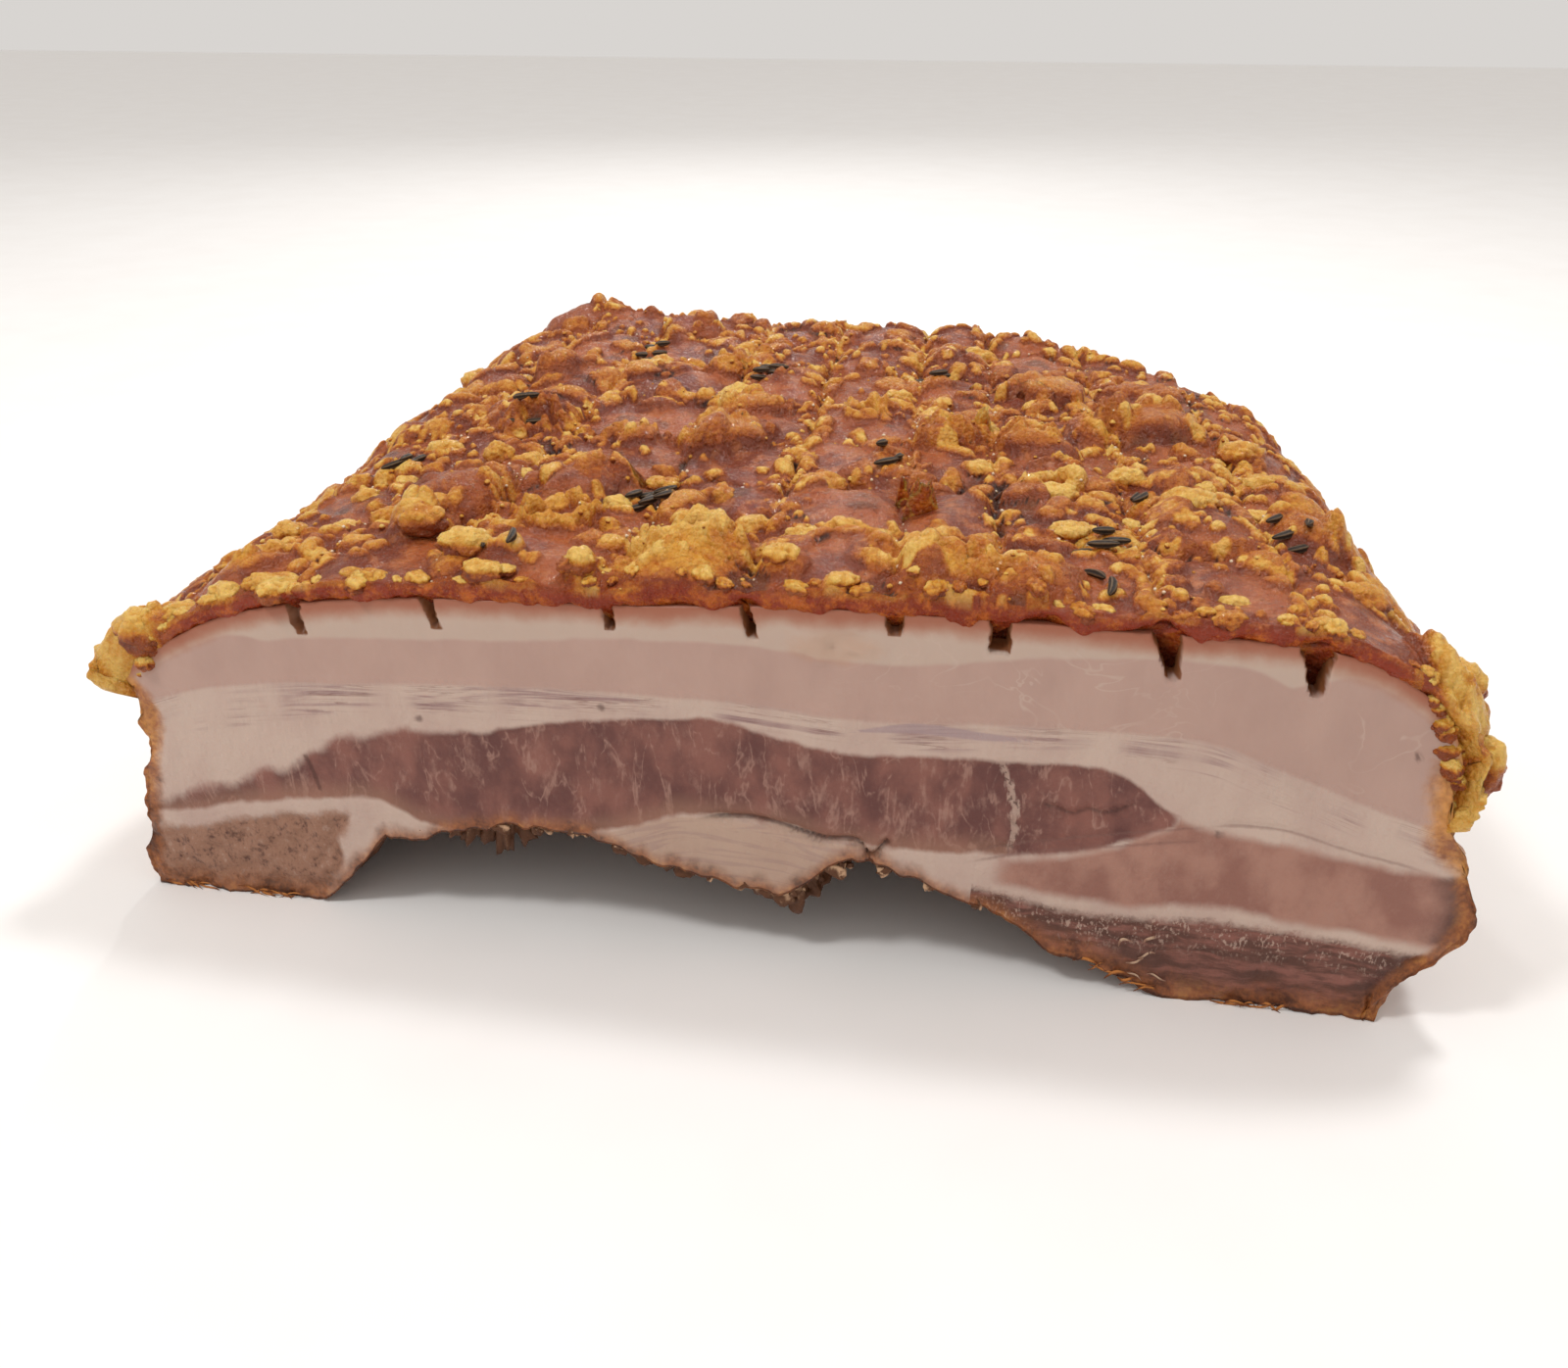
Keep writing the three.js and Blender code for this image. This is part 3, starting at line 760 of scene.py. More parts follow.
@dataclass(frozen=True)
class SpeckFinish:
    """Seeds, crumbs, rags and shreds: one colour with ridges or grain in another, which on the crumbs is a
    painted lighter top.
    """

    name: str
    ground: Colour
    ridge: Colour
    rough: float

    def build(self) -> Material:
        """The material, which reads how high a place stands on its own speck."""
        graph = Graph(self.name)
        fine = graph.noise(graph.even(2200), detail=2)
        colour = graph.blend(graph.ragged("ridge", fine, 0.5, 0.4, 0.9), self.ground, self.ridge)
        return graph.surface(
            Base_Color=colour, Roughness=self.rough, Normal=graph.bump(fine, 0.15), Specular_IOR_Level=0.2,
        )


def mesh_from(shape: bmesh.types.BMesh, name: str) -> bpy.types.Mesh:
    """A mesh of a finished shape, which is freed."""
    mesh = bpy.data.meshes.new(name)
    shape.to_mesh(mesh)
    shape.free()
    return mesh


@dataclass(frozen=True)
class Pattern:
    """A small shape to be copied many times: its points and its faces."""

    points: Array
    faces: list[list[int]]

    @classmethod
    def of(cls, shape: bmesh.types.BMesh) -> "Pattern":
        """The pattern of a shape, which is freed."""
        faces = [[vert.index for vert in face.verts] for face in shape.faces]
        pattern = cls(read_points(list(shape.verts)), faces)
        shape.free()
        return pattern

    @classmethod
    def ball(cls, detail: int) -> "Pattern":
        """A ball of radius 1, divided the more finely the greater the detail."""
        shape = bmesh.new()
        bmesh.ops.create_icosphere(shape, subdivisions=detail, radius=1)
        shape.verts.index_update()
        return cls.of(shape)

    def joined(self, name: str, copies: list[Array]) -> bpy.types.Mesh:
        """One mesh of many reshaped copies.

        Args:
            name: Name of the mesh.
            copies: The places of each copy's points.

        Returns:
            The mesh.
        """
        count = len(self.points)
        faces = [[count * i + point for point in face] for i in range(len(copies)) for face in self.faces]
        mesh = bpy.data.meshes.new(name)
        mesh.from_pydata(np.concatenate(copies).tolist(), [], faces)
        return mesh


def finish_piece(
    mesh: bpy.types.Mesh,
    material: Material,
    slot: Slot,
    replaces: tuple[str, ...] = (),
    **numbers: Array,
) -> Piece:
    """Turns a mesh into a piece that rides on the joint.

    Args:
        mesh: The finished shape in the CAD frame, with the piece's name.
        material: Its finish.
        slot: The record's slot; not used.
        replaces: CAD nodes that it stands for.
        numbers: Numbers for the finish to read, by name, one for each vertex.

    Returns:
        The piece.
    """
    mesh.polygons.foreach_set("use_smooth", np.ones(len(mesh.polygons), bool))
    for label, values in numbers.items():
        layer = mesh.attributes.new(label, "FLOAT", "POINT")
        layer.data.foreach_set("value", np.asarray(values, np.float32))
    mesh.materials.append(material)
    piece = bpy.data.objects.new(mesh.name, mesh)
    bpy.context.scene.collection.objects.link(piece)
    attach(piece, "root")
    if replaces:
        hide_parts(*replaces)
    triangles = sum(len(face.vertices) - 2 for face in mesh.polygons)
    log.info("%s: %d triangles", mesh.name, triangles)
    return piece


def read_points(verts: list[bmesh.types.BMVert]) -> Array:
    """Places of some vertices, one to a row."""
    return np.array([vert.co for vert in verts], float)


def move_points(verts: list[bmesh.types.BMVert], points: Array) -> None:
    """Moves vertices to new places."""
    for vert, point in zip(verts, points.tolist()):
        vert.co = point


@dataclass(frozen=True)
class ScoreSlot:
    """A score that stands open at the cut face, in millimetres."""

    across: float
    width: float
    height: float
    drift: float
    foot: float


@dataclass(frozen=True)
class CutMarks:
    """Fine marks of the cut face that its solids leave out, as lines (across, height) in millimetres."""

    lean_foot: Line = Line((
        (-69, 24.4), (-62, 20.5), (-52, 19), (-37, 20.5), (-28, 22.1), (-20, 25), (-13, 27.4), (-5, 27.6),
        (6, 27.1), (14, 25.3), (30, 25.2), (45, 25.8),
    ))
    lens_top: Line = Line(((16, 47.2), (28, 50), (39, 49.4), (50, 48.8)))
    lens_foot: Line = Line(((16, 47), (28, 47.9), (39, 47.6), (50, 48.5)))
    fold_top: Line = Line(((36, 25.2), (49, 29), (65, 32.5), (77, 35.4)))
    fold_foot: Line = Line(((36, 23.2), (49, 27), (64, 30), (77, 32.6)))
    flank_top: Line = Line(((77, 35.6), (89, 35.9), (98, 33.7), (114, 30.4)))
    gape: Line = Line(((-9, 27.4), (1, 27.9), (6, 27.1), (13, 25.4), (19.5, 25.2), (21.5, 22.8), (24, 25.8)))
    crack: Line = Line((
        (48, 36.6), (52.8, 35.7), (55.3, 34.9), (57.6, 36.1), (60.5, 35.7), (63.3, 36.9), (67, 39.3),
    ))
    tear: Line = Line(((26, 45.1), (32, 45.7), (36.6, 45.4), (40.3, 44.2), (45, 42.6)))
    spots: tuple[tuple[float, float], ...] = ((79, 34.2), (107, 51.6), (-26, 47.7), (-60, 42.3))
    nick: tuple[tuple[float, float], tuple[float, float]] = ((-83.2, 32.4), (-81.6, 25.3))
    spot_size: float = 1.2
    raw: tuple[float, float, float, float] = (14.5, 62.5, 9.5, 4.5)

    def numbers(self, x: Array, level: Array) -> dict[str, Array]:
        """What the finish reads of the marks.

        Args:
            x: Places across.
            level: Heights, as at the cut face.

        Returns:
            Distances to the lines, how much each line shows, and the other marks, by name.
        """
        fold = np.minimum(level - self.fold_foot(x), self.fold_top(x) - level)
        fold = np.where(x < 77, fold, level - self.flank_top(x))
        gape = level - np.where(x < 35, self.gape(x), self.crack(x))
        middle, height, half_width, half_height = self.raw
        (left, high), (right, low) = self.nick
        along = np.clip((high - level) / (high - low), 0, 1)
        away = [np.hypot(x - a, level - b) / self.spot_size for a, b in self.spots]
        away.append(1.5 * np.hypot(x - lerp(left, right, along), level - lerp(high, low, along)))
        lips = ease(x, -10, -5) * (1 - ease(x, 24, 25.5))
        cracked = 0.55 * ease(x, 48, 52) * (1 - ease(x, 63, 67))
        lens = np.minimum(self.lens_top(x) - level, level - self.lens_foot(x))
        return {
            "fold": fold,
            "folded": ease(x, 37, 43) * (1 - 0.95 * np.exp(-(((x - 77) / 2) ** 2))) * (1 - ease(x, 108, 113)),
            "gape": gape,
            "gaping": lips + cracked,
            "tear": x - self.tear(level),
            "torn": ease(level, 26, 29) * (1 - ease(level, 43, 45)) * (np.abs(x - 45) < 8),
            "spot": np.clip(1 - np.min(away, axis=0), 0, 1),
            "raw": np.clip(1 - np.hypot((x - middle) / half_width, (level - height) / half_height), 0, 1),
            "lens": np.where(np.abs(x - 33) > 17, lens + OUTSIDE, lens),
            "veined": ease(x, 5, 40),
        }


@dataclass
class Meat:
    """The block of fat and lean under the rind, with its cut face, side crusts, feet and arch."""

    finish: MeatFinish = field(default_factory=MeatFinish)
    marks: CutMarks = CutMarks()
    column: float = 1.0
    fine_column: float = 0.5
    rows: int = 86
    layers_deep: int = 60
    cover: float = 2.8
    pale_band: float = 2.4
    foot_end: float = -83
    burn_reach: float = 11
    crust: tuple[float, float] = (4.2, 5.5)
    roof_crags: tuple[float, float] = (1.4, 0.8)
    side_crags: tuple[float, float] = (1.3, 0.8)
    side_reach: float = 12
    far_edge: float = 40
    slot_depths: Line = Line(((-82, 2), (-57, 2.2), (-24, 4.5), (24, 4), (41, 5), (66, 7), (89, 8)))
    base_crust: tuple[float, float] = (5.5, 3.2)
    slots: tuple[ScoreSlot, ...] = tuple(ScoreSlot(*row) for row in (
        (-82, 2.6, 8.0, 2.0, 0.6), (-57, 2.6, 8.0, 2.4, 0.6), (-24, 1.6, 7.0, 0.3, 0.9),
        (-1, 1.7, 8.0, 1.8, 0.8), (24, 3.4, 6.5, 0.4, 0.5), (41, 3.2, 8.0, 0.2, 0.9),
        (66, 5.4, 10.0, 2.6, 0.3), (89, 6.4, 10.5, 1.4, 0.2),
    ))

    def columns(self) -> Array:
        """Places across of the block's columns, closer together at the slots."""
        half = JOINT.width / 2
        fine = np.linspace(-half, half, 4001)
        away = np.min([np.abs(fine - slot.across - slot.drift / 2) for slot in self.slots], axis=0)
        density = lerp(1 / self.fine_column, 1 / self.column, ease(away, 3, 5))
        total = np.concatenate(([0], np.cumsum((density[1:] + density[:-1]) / 2 * np.diff(fine))))
        return np.interp(np.linspace(0, total[-1], int(total[-1])), total, fine)

    def depths(self) -> Array:
        """Places behind the cut face of the block's layers, closer together near it."""
        steps = np.linspace(0, 1, self.layers_deep + 1)
        return JOINT.depth * lerp(steps**2, steps, 0.55)

    def slot_inside(self, x: Array, z: Array) -> Array:
        """How far each place of the cut face lies inside a slot, in millimetres, below 0 outside.

        Args:
            x: Places across.
            z: Heights above the base.

        Returns:
            One distance for each place.
        """
        inside = np.full(len(x), OUTSIDE)
        for slot in self.slots:
            top = JOINT.rind(np.array([slot.across]))[0]
            down = (top - z) / slot.height
            half = slot.width / 2 * lerp(1, slot.foot, np.clip(down, 0, 1))
            ragged = 0.35 * rough_noise(np.stack((x, z), -1) / 1.6, 2, seed=5)
            across = half - np.abs(x - slot.across - slot.drift * down) + ragged
            inside = np.maximum(inside, np.minimum(across, (1 - down) * slot.height))
        return inside

    def build(self) -> Piece:
        """The block as one closed piece that stands for every layer under the fat cap."""
        columns, depths = self.columns(), self.depths()
        counts = (len(columns) - 1, len(depths) - 1, self.rows)
        shape = bmesh.new()
        bmesh.ops.create_cube(shape, size=2)
        for axis, count in enumerate(counts):
            along = [e for e in shape.edges if abs(e.verts[0].co[axis] - e.verts[1].co[axis]) > 1]
            bmesh.ops.subdivide_edges(shape, edges=along, cuts=count - 1, use_grid_fill=True)
        verts = list(shape.verts)
        i, j, k = np.rint((read_points(verts) + 1) / 2 * np.array(counts)).astype(int).T
        points, numbers = self.mould(columns[i] / (JOINT.width / 2), depths[j] / JOINT.depth, k / self.rows)
        move_points(verts, JOINT.place(points))
        return finish_piece(
            mesh_from(shape, "meat"), self.finish.build(), Slot.LEAN,
            ("fat_seam", "belly_lean", "flank_lean", "rib_fat", "foot_left", "foot_right"), **numbers,
        )

    def mould(self, across: Array, along: Array, up: Array) -> tuple[Array, dict[str, Array]]:
        """Moulds the points of a cube into the block.

        Args:
            across: Shares of half the width, from -1 to 1.
            along: Shares of the depth, from 0 to 1.
            up: Shares of the height, from 0 to 1.

        Returns:
            The moulded places, and the numbers that the finish reads.
        """
        x, y = JOINT.plan(across, along)
        turn = np.arctan2(y - JOINT.front, x)
        edge = JOINT.edge_distance(x, y)
        on_side = (np.abs(across) > 1 - TINY) | (along > 1 - TINY)
        on_cut = along < TINY
        on_base = up < TINY
        base = JOINT.underside(x, y)
        flat = np.stack((x, y), -1)
        broad, narrow = self.roof_crags
        ragged = broad * rough_noise(flat / 9, 3, seed=21) + narrow * rough_noise(flat / 3, 2, seed=25)
        base = np.maximum(base + ragged * ease(base, 1, 8), 0.15 * (1 + rough_noise(flat / 6, 2, seed=27)))
        top = JOINT.rind_height(x, y) - self.cover
        z = lerp(base, top, up)
        solid = np.stack((x, y, z), -1)
        broad, narrow = self.side_crags
        crags = broad * rough_noise(solid / 7, 3, seed=31) + narrow * rough_noise(solid / 2.6, 2, seed=35)
        out = (JOINT.outward(turn, z) + np.where(on_side, crags, 0)) * (1 - ease(edge, 0, self.side_reach))
        x = x + out * np.cos(turn)
        y = np.where(on_cut, y, y + out * np.sin(turn))
        numbers = self.layers(x, y, z, base)
        inside = self.slot_inside(x, z)
        far = self.far_edge * (1 - np.exp(-(y - JOINT.front) / 6))
        side = JOINT.width / 2 + JOINT.outward(turn, z) - np.abs(x)
        edge = np.where(on_cut, np.minimum(side, self.far_edge), far)
        thick = np.where(x < 0, self.crust[0], lerp(*self.crust, ease(z, 28, 38)))
        lean = np.maximum(np.maximum(numbers["lean"], numbers["flank"]), numbers["foot"])
        reach = np.where(x < 0, 0.5, 1) * self.burn_reach
        numbers["edge"] = edge / thick
        numbers["gold"] = np.where(x < 0, 0.8, 1.1) * ease(z, 20, 40) - 0.8 * on_base
        numbers["burn"] = np.clip(1 - edge / reach, 0, 1) * ease(lean, -1, 1)
        numbers["open_score"] = np.where(on_cut, inside, OUTSIDE)
        numbers["outside"] = np.where(on_side | on_base, 1.0, 0.0)
        dents = self.dents(solid, numbers) + self.slot_depths(x) * ease(inside, -0.1, 0.3)
        y = np.where(on_cut, y + dents, y)
        return np.stack((x, y, z), -1), numbers

    def dents(self, solid: Array, numbers: dict[str, Array]) -> Array:
        """How far back each place of the cut face lies, in millimetres.

        Args:
            solid: Places before they are moved.
            numbers: What the finish reads of each.

        Returns:
            One distance for each place.
        """
        coarse = np.maximum(ease(numbers["foot"], -0.5, 1.5), 1 - ease(numbers["edge"], 0.4, 1.1))
        torn = numbers["torn"] * np.exp(-((numbers["tear"] / 1.6) ** 2))
        depth = 0.22 * rough_noise(solid / 6, 3, seed=41) + 0.4 * ease(numbers["lean"], 0, 1.5)
        crumbs = 0.7 * rough_noise(solid / 3.2, 3, seed=45) + 0.5 * bubble_noise(solid / 2.2, seed=47)
        depth += coarse * crumbs
        depth += numbers["gaping"] * 1.8 * np.exp(-((numbers["gape"] / 0.8) ** 2))
        depth += numbers["folded"] * 0.5 * np.exp(-((numbers["fold"] / 0.7) ** 2))
        depth += torn * rough_noise(solid / 1.8, 2, seed=49)
        return depth + 0.8 * numbers["raw"] * rough_noise(solid / 2.4, 2, seed=51)

    def layers(self, x: Array, y: Array, z: Array, base: Array) -> dict[str, Array]:
        """How far each place lies inside each layer, in millimetres, below 0 outside it.

        Args:
            x: Places across.
            y: Places along the depth.
            z: Heights above the base.
            base: Heights of the underside below each place.

        Returns:
            The distances by the layer's name.
        """
        level = z / JOINT.swell(x, y)
        foot = np.where(x < JOINT.arch_left, JOINT.foot_top_left(x) + self.pale_band, self.marks.lean_foot(x))
        foot = np.where(x < JOINT.arch_right, foot, JOINT.muscle_split(x))
        soft = lerp(0.4, 1, ease(x, -75, -30))
        lean = np.minimum((JOINT.lean_top(x) - level) * soft, level - foot)
        lean = np.minimum(lean, (JOINT.lean_end - x) / 2)
        flank_top = np.where(x < JOINT.lean_end, JOINT.muscle_split(x), JOINT.lean_top(x))
        flank = np.minimum(flank_top - level, level - JOINT.foot_top_right(x) - 1.2)
        flank = np.minimum(flank, (x - JOINT.arch_right + 2) / 2)
        wave = 1.2 * smooth_noise(np.stack((x, z), -1) / 5, 29)
        inner = self.foot_end + 0.45 * level - x + 2 * wave
        left = np.minimum(JOINT.foot_top_left(x) - level, inner) + 0.5 * wave
        right = np.where(x > JOINT.arch_right - 6, JOINT.foot_top_right(x) - level, OUTSIDE)
        thinnest = JOINT.rind(x) - lerp(15, 6, ease(np.abs(x), 70, 100))
        streak = level - JOINT.streak(x)
        return {
            "right_foot": ease(x, 0, 20),
            "under_rind": JOINT.rind_height(x, y) - 2 - z,
            "white": level - np.maximum(JOINT.white_fat(x), thinnest),
            "streak": streak,
            "streak_foot": level - JOINT.streak_foot(x),
            "lean": lean,
            "lean_foot": np.where(x < JOINT.arch_right, level - foot, -OUTSIDE),
            "flank": flank - 0.6,
            "foot": np.maximum(left, right) - 0.6,
            "smooth_fat": ease(streak, 0, 2),
            "base": (z - base) / lerp(*self.base_crust, ease(base, 4, 14)),
            "flap": ease(x, -33, -22) * (1 - ease(x, 22, 27)),
            **self.marks.numbers(x, level),
        }


@dataclass(frozen=True)
class Blister:
    """A puffed place of the rind, in millimetres.

    The place is across and back from the cut face. Heat runs from 0, smooth rind, to 1, pale gold, lobes
    from 0, a plain dome, to 1, a popped and lumpy one, and the stretch makes it wider than it is deep.
    """

    across: float
    back: float
    radius: float
    height: float
    heat: float
    lobes: float
    stretch: float = 1


@dataclass(frozen=True)
class Pops:
    """A crowd of small blisters: how far apart they are, their sizes, and how thick they lie.

    Banks is the share that pops beside the scores, and patches how much more or less pops in broad patches.
    """

    apart: float
    radius: tuple[float, float]
    steep: float
    banks: float
    patches: float
    heat: tuple[float, float]


@dataclass
class Crackling:
    """The scored rind: a sheet that rolls over the joint's edges, with its blisters raised in it."""

    pitch: float = 0.52
    skirt: float = 0.075
    skirt_length: float = 5
    skirt_rows: int = 16
    roll_stretch: float = 1.6
    lip_rows: int = 11
    lip_height: float = 3.0
    settle: float = 0.75
    thickness: float = 1.1
    tuck: float = 4
    seams: tuple[int, int] = (2, 5)
    notches: tuple[tuple[float, float], ...] = ((66.5, 2.4), (89, 3.2))
    domes: tuple[Blister, ...] = tuple(Blister(*row) for row in (
        (-64, 37, 11, 5, 0.28, 0.2), (-41, 50, 9.5, 4.4, 0.3, 0.3), (-18, 79, 10, 5, 0.5, 0.5),
        (50, 80, 9, 5.4, 0.5, 0.5), (76, 98, 11, 5.4, 0.4, 0.5), (54, 122, 8.5, 5, 0.5, 0.7),
        (30, 84, 8, 4.4, 0.3, 1.0), (62, 92, 7, 4, 0.4, 0.4), (96, 43, 8, 3.6, 0.4, 0.4),
        (-67, 22, 5, 3.4, 0.5, 0.4), (-45, 8, 6, 2.6, 0.15, 0.1), (-39, 79, 6, 3, 0.5, 0.4),
        (-74, 124, 7, 4, 0.45, 0.4), (-88, 180, 13, 3, 0.2, 0.3), (-50, 168, 10, 3, 0.25, 0.4),
        (-17, 105, 8, 3.6, 0.5, 0.8), (46, 8, 7.5, 3.6, 0.42, 0.1, 1.25), (104, 44, 6, 4, 0.5, 0.6),
        (-113, 3, 6, 3.4, 0.7, 0.9), (113, 8, 7, 4, 0.75, 0.8), (26, 14, 9, 1.8, 0.3, 1.0, 1.4),
        (-96, 12, 8, 2.6, 0.55, 0.8), (20, 60, 8, 2.4, 0.3, 0.9), (-25, 142, 9, 3, 0.5, 0.8),
        (-12, 7, 7, 2.2, 0.65, 0.6, 1.6), (33, 7, 5, 2.4, 0.6, 0.5, 1.5), (-29, 4, 3.4, 2, 0.7, 0.8),
    ))
    craters: tuple[tuple[float, float, float, float], ...] = (
        (-14, 15, 5.2, 0.8), (-41, 28, 5, 0.6), (-65, 83, 5, 0.3), (51, 56, 3.6, 0.8), (12, 100, 4, 0.6),
    )
    crowds: tuple[Pops, ...] = (
        Pops(9.5, (3.0, 5.0), 0.5, 0.55, 0.5, (0.3, 0.62)),
        Pops(5.2, (1.7, 3.0), 0.66, 0.6, 0.5, (0.38, 0.85)),
        Pops(2.7, (0.8, 1.5), 0.8, 0.4, 0.4, (0.45, 1.0)),
    )

    def pop(self, flat: Array, crowd: Pops, number: int) -> tuple[Array, Array, Array]:
        """Pops one crowd of blisters, which lie thick on the banks of the scores.

        Args:
            flat: Places seen from above, one to a row.
            crowd: The crowd.
            number: Number that tells it from the others.

        Returns:
            The height of each place, how near it is to its blister's top from 0 to 1, and that one's heat.
        """
        wide = crowd.radius[1]
        bent = flat + 0.3 * wide * np.stack([rough_noise(flat / wide, 2, seed=70 + i) for i in range(2)], -1)
        base = np.floor(bent / crowd.apart).astype(np.int64)
        height, best, tone = np.zeros((3, len(flat)))
        for step in itertools.product((-1, 0, 1), repeat=2):
            cell = base + np.array(step)
            draws = [lattice(cell, 50 + 9 * number + i) for i in range(4)]
            centre = (cell + np.stack(draws[:2], -1)) * crowd.apart
            away = JOINT.score_distance(*centre.T) - 1.1 * crowd.radius[0]
            edge = 0.35 * (1 - ease(JOINT.edge_distance(*centre.T), 0, 22))
            patches = crowd.patches * smooth_noise(centre / 15, 90 + number)
            wanted = crowd.banks * np.exp(-((away / 3.2) ** 2)) + patches + edge
            radius = lerp(*crowd.radius, draws[2] ** 1.5)
            offset = (bent - centre) / np.stack((radius * lerp(0.9, 1.4, draws[3]), radius), -1)
            cap = np.sqrt(np.clip(1 - (offset**2).sum(-1), 0, 1)) * (draws[3] * 7 % 1 < wanted)
            taller = cap * radius * crowd.steep > height
            height = np.where(taller, cap * radius * crowd.steep, height)
            best = np.where(taller, cap, best)
            tone = np.where(taller, lerp(*crowd.heat, draws[2] * 5 % 1), tone)
        return height, best, tone

    def sheet(self) -> tuple[Array, dict[str, Array], tuple[int, int]]:
        """The whole sheet's places, with its numbers for the finish, row by row from the front.

        Returns:
            The places, the numbers, and how many columns and rows of points there are.
        """
        half, depth = JOINT.width / 2, JOINT.depth
        columns = int(2 * half * (1 + self.skirt) / self.pitch)
        across = np.linspace(-1 - self.skirt, 1 + self.skirt, columns + 1)
        main = np.linspace(0, 1 - JOINT.roll / depth, int((depth - JOINT.roll) / self.pitch))
        rolled = np.linspace(0, np.pi / 2, int(JOINT.roll * self.roll_stretch / self.pitch))[1:]
        back = 1 - JOINT.roll / depth * (1 - np.sin(rolled))
        fall = 1 + np.linspace(0, self.skirt, self.skirt_rows + 1)[1:]
        lip = -np.linspace(1, 0, self.lip_rows + 1)[:-1]
        along = np.concatenate((lip, main, back, fall))
        u, v = (a.ravel() for a in np.meshgrid(across, along))
        points, numbers = self.mould(u, v)
        return points, numbers, (len(across), len(along))

    def mould(self, u: Array, v: Array) -> tuple[Array, dict[str, Array]]:
        """Moulds the sheet's points over the joint.

        Args:
            u: Shares of half the width, past -1 and 1 where the sheet hangs down the sides.
            v: Shares of the depth, past 1 down the back, and from 0 to -1 over the front lip.

        Returns:
            The places in the joint's own frame, and the numbers that the finish reads.
        """
        lip = np.clip(-v, 0, 1)
        v = np.maximum(v, 0)
        over = np.maximum(np.maximum(np.abs(u), v), 1)
        fall = (over - 1) / self.skirt
        x, y = JOINT.plan(u / over, v / over)
        turn = np.arctan2(y - JOINT.front, x)
        flat = np.stack((x, y), -1)
        height, heat, dark = self.relief(flat, fall)
        z = JOINT.crackling(x, y) + height
        z = z - self.skirt_length * (1 + 0.45 * rough_noise(flat / 8, 3, seed=61)) * fall
        crags = np.stack((x, y, z - lip * self.lip_height), -1)
        rind = 1 + rough_noise(crags / 2.5, 3, seed=65) + 0.9 * bubble_noise(crags / 4, seed=67)
        near = 1 - ease(JOINT.edge_distance(x, y), 0, 10)
        grit = 0.6 * bubble_noise(crags / 3.2, seed=68) + 0.4 * bubble_noise(crags / 1.4, seed=63)
        crumbly = 2.2 * grit * ease(fall, 0, 0.3)
        thick = (self.thickness * rind + crumbly) * np.sqrt(np.clip(1 - fall**2, 0, 1))
        out = (JOINT.outward(turn, z) + thick) * near
        x = x + out * np.cos(turn)
        y = np.where(v > 0, y + out * np.sin(turn), y)
        pores = np.stack((x, z - lip * self.lip_height, lip), -1)
        lumps = bubble_noise(pores / 2.4, seed=69)
        crumb = 0.5 * bubble_noise(pores / 1.0, seed=71) + 0.7 * lumps
        notch = np.max([1 - ease(np.abs(x - at), 0.4 * wide, wide) for at, wide in self.notches], axis=0)
        ragged = rough_noise(np.stack((x, 0 * x), -1) / 6, 4, seed=77)
        forward = (0.1 + 0.8 * crumb * np.sin(np.pi * lip)) * ease(lip, 0, 0.25) - (0.3 + 1.2 * notch) * lip
        forward = forward + 1.8 * grit * ease(fall, 0, 0.3) * ease(lip, 0, 0.25)
        y = y - np.where(lip > 0, np.where(lip < 1, forward, -0.4), 0)
        foot = JOINT.rind_height(x, JOINT.front + 0 * x) - self.lip_height * (1 + 0.45 * ragged)
        z = lerp(z, np.where(fall > 0, z - self.lip_height, foot), lip)
        rim = np.exp(-(y - JOINT.front) / 1.5) * (1 - np.minimum(fall, 1))
        rust = np.where(lip > 0, 0.4 + 0.6 * ease(lip, 0, 0.5), 0.4 * rim)
        rust = rust * (1 - 0.85 * ease(np.abs(x), 100, 112))
        gilt = ease(rough_noise(np.stack((x, 0 * x), -1) / 11, 3, seed=79), -0.25, 0.3)
        edged = 0.6 * gilt * rim * (1 - ease(lip, 0.1, 0.5))
        heat = np.maximum(heat + np.where(lip > 0, 0.3 * (lumps - 0.4), 0), edged)
        ends = ease(np.abs(x), 104, 114) * (1 - ease(y - JOINT.front, 3, 12))
        golden = np.maximum(ease(fall, 0, 0.5), ends)
        heat = lerp(heat, 0.35 + 0.7 * grit + 0.25 * rough_noise(crags / 3, 3, seed=78), golden)
        # Painted shade in the creases between grains on the golden skirt and ends, and down the front lip's
        # notches
        crease_shade = dark * (1 - golden) + 0.5 * golden * ease(0.35 - grit, 0, 0.3)
        dark = np.where(lip > 0, 0.5 * notch * lip, crease_shade)
        return np.stack((x, y, z), -1), {"crisp": heat, "dark": dark, "rust": rust}

    def unrolled(self, flat: Array, fall: float | Array) -> Array:
        """Places on the rind laid out flat, so that blisters keep their shape where it rolls over the edges.

        Args:
            flat: Places seen from above, one to a row.
            fall: How far down the skirt each is, from 0 to 1.

        Returns:
            The places, one to a row.
        """
        steep = np.arcsin(1 - np.clip(JOINT.edge_distance(*flat.T) / JOINT.roll, 0, 1))
        turn = np.arctan2(flat[:, 1] - JOINT.front, flat[:, 0])
        extra = JOINT.roll * (steep - np.sin(steep)) + self.skirt_length * fall
        return flat + np.stack((extra * np.cos(turn), extra * np.sin(turn)), -1)

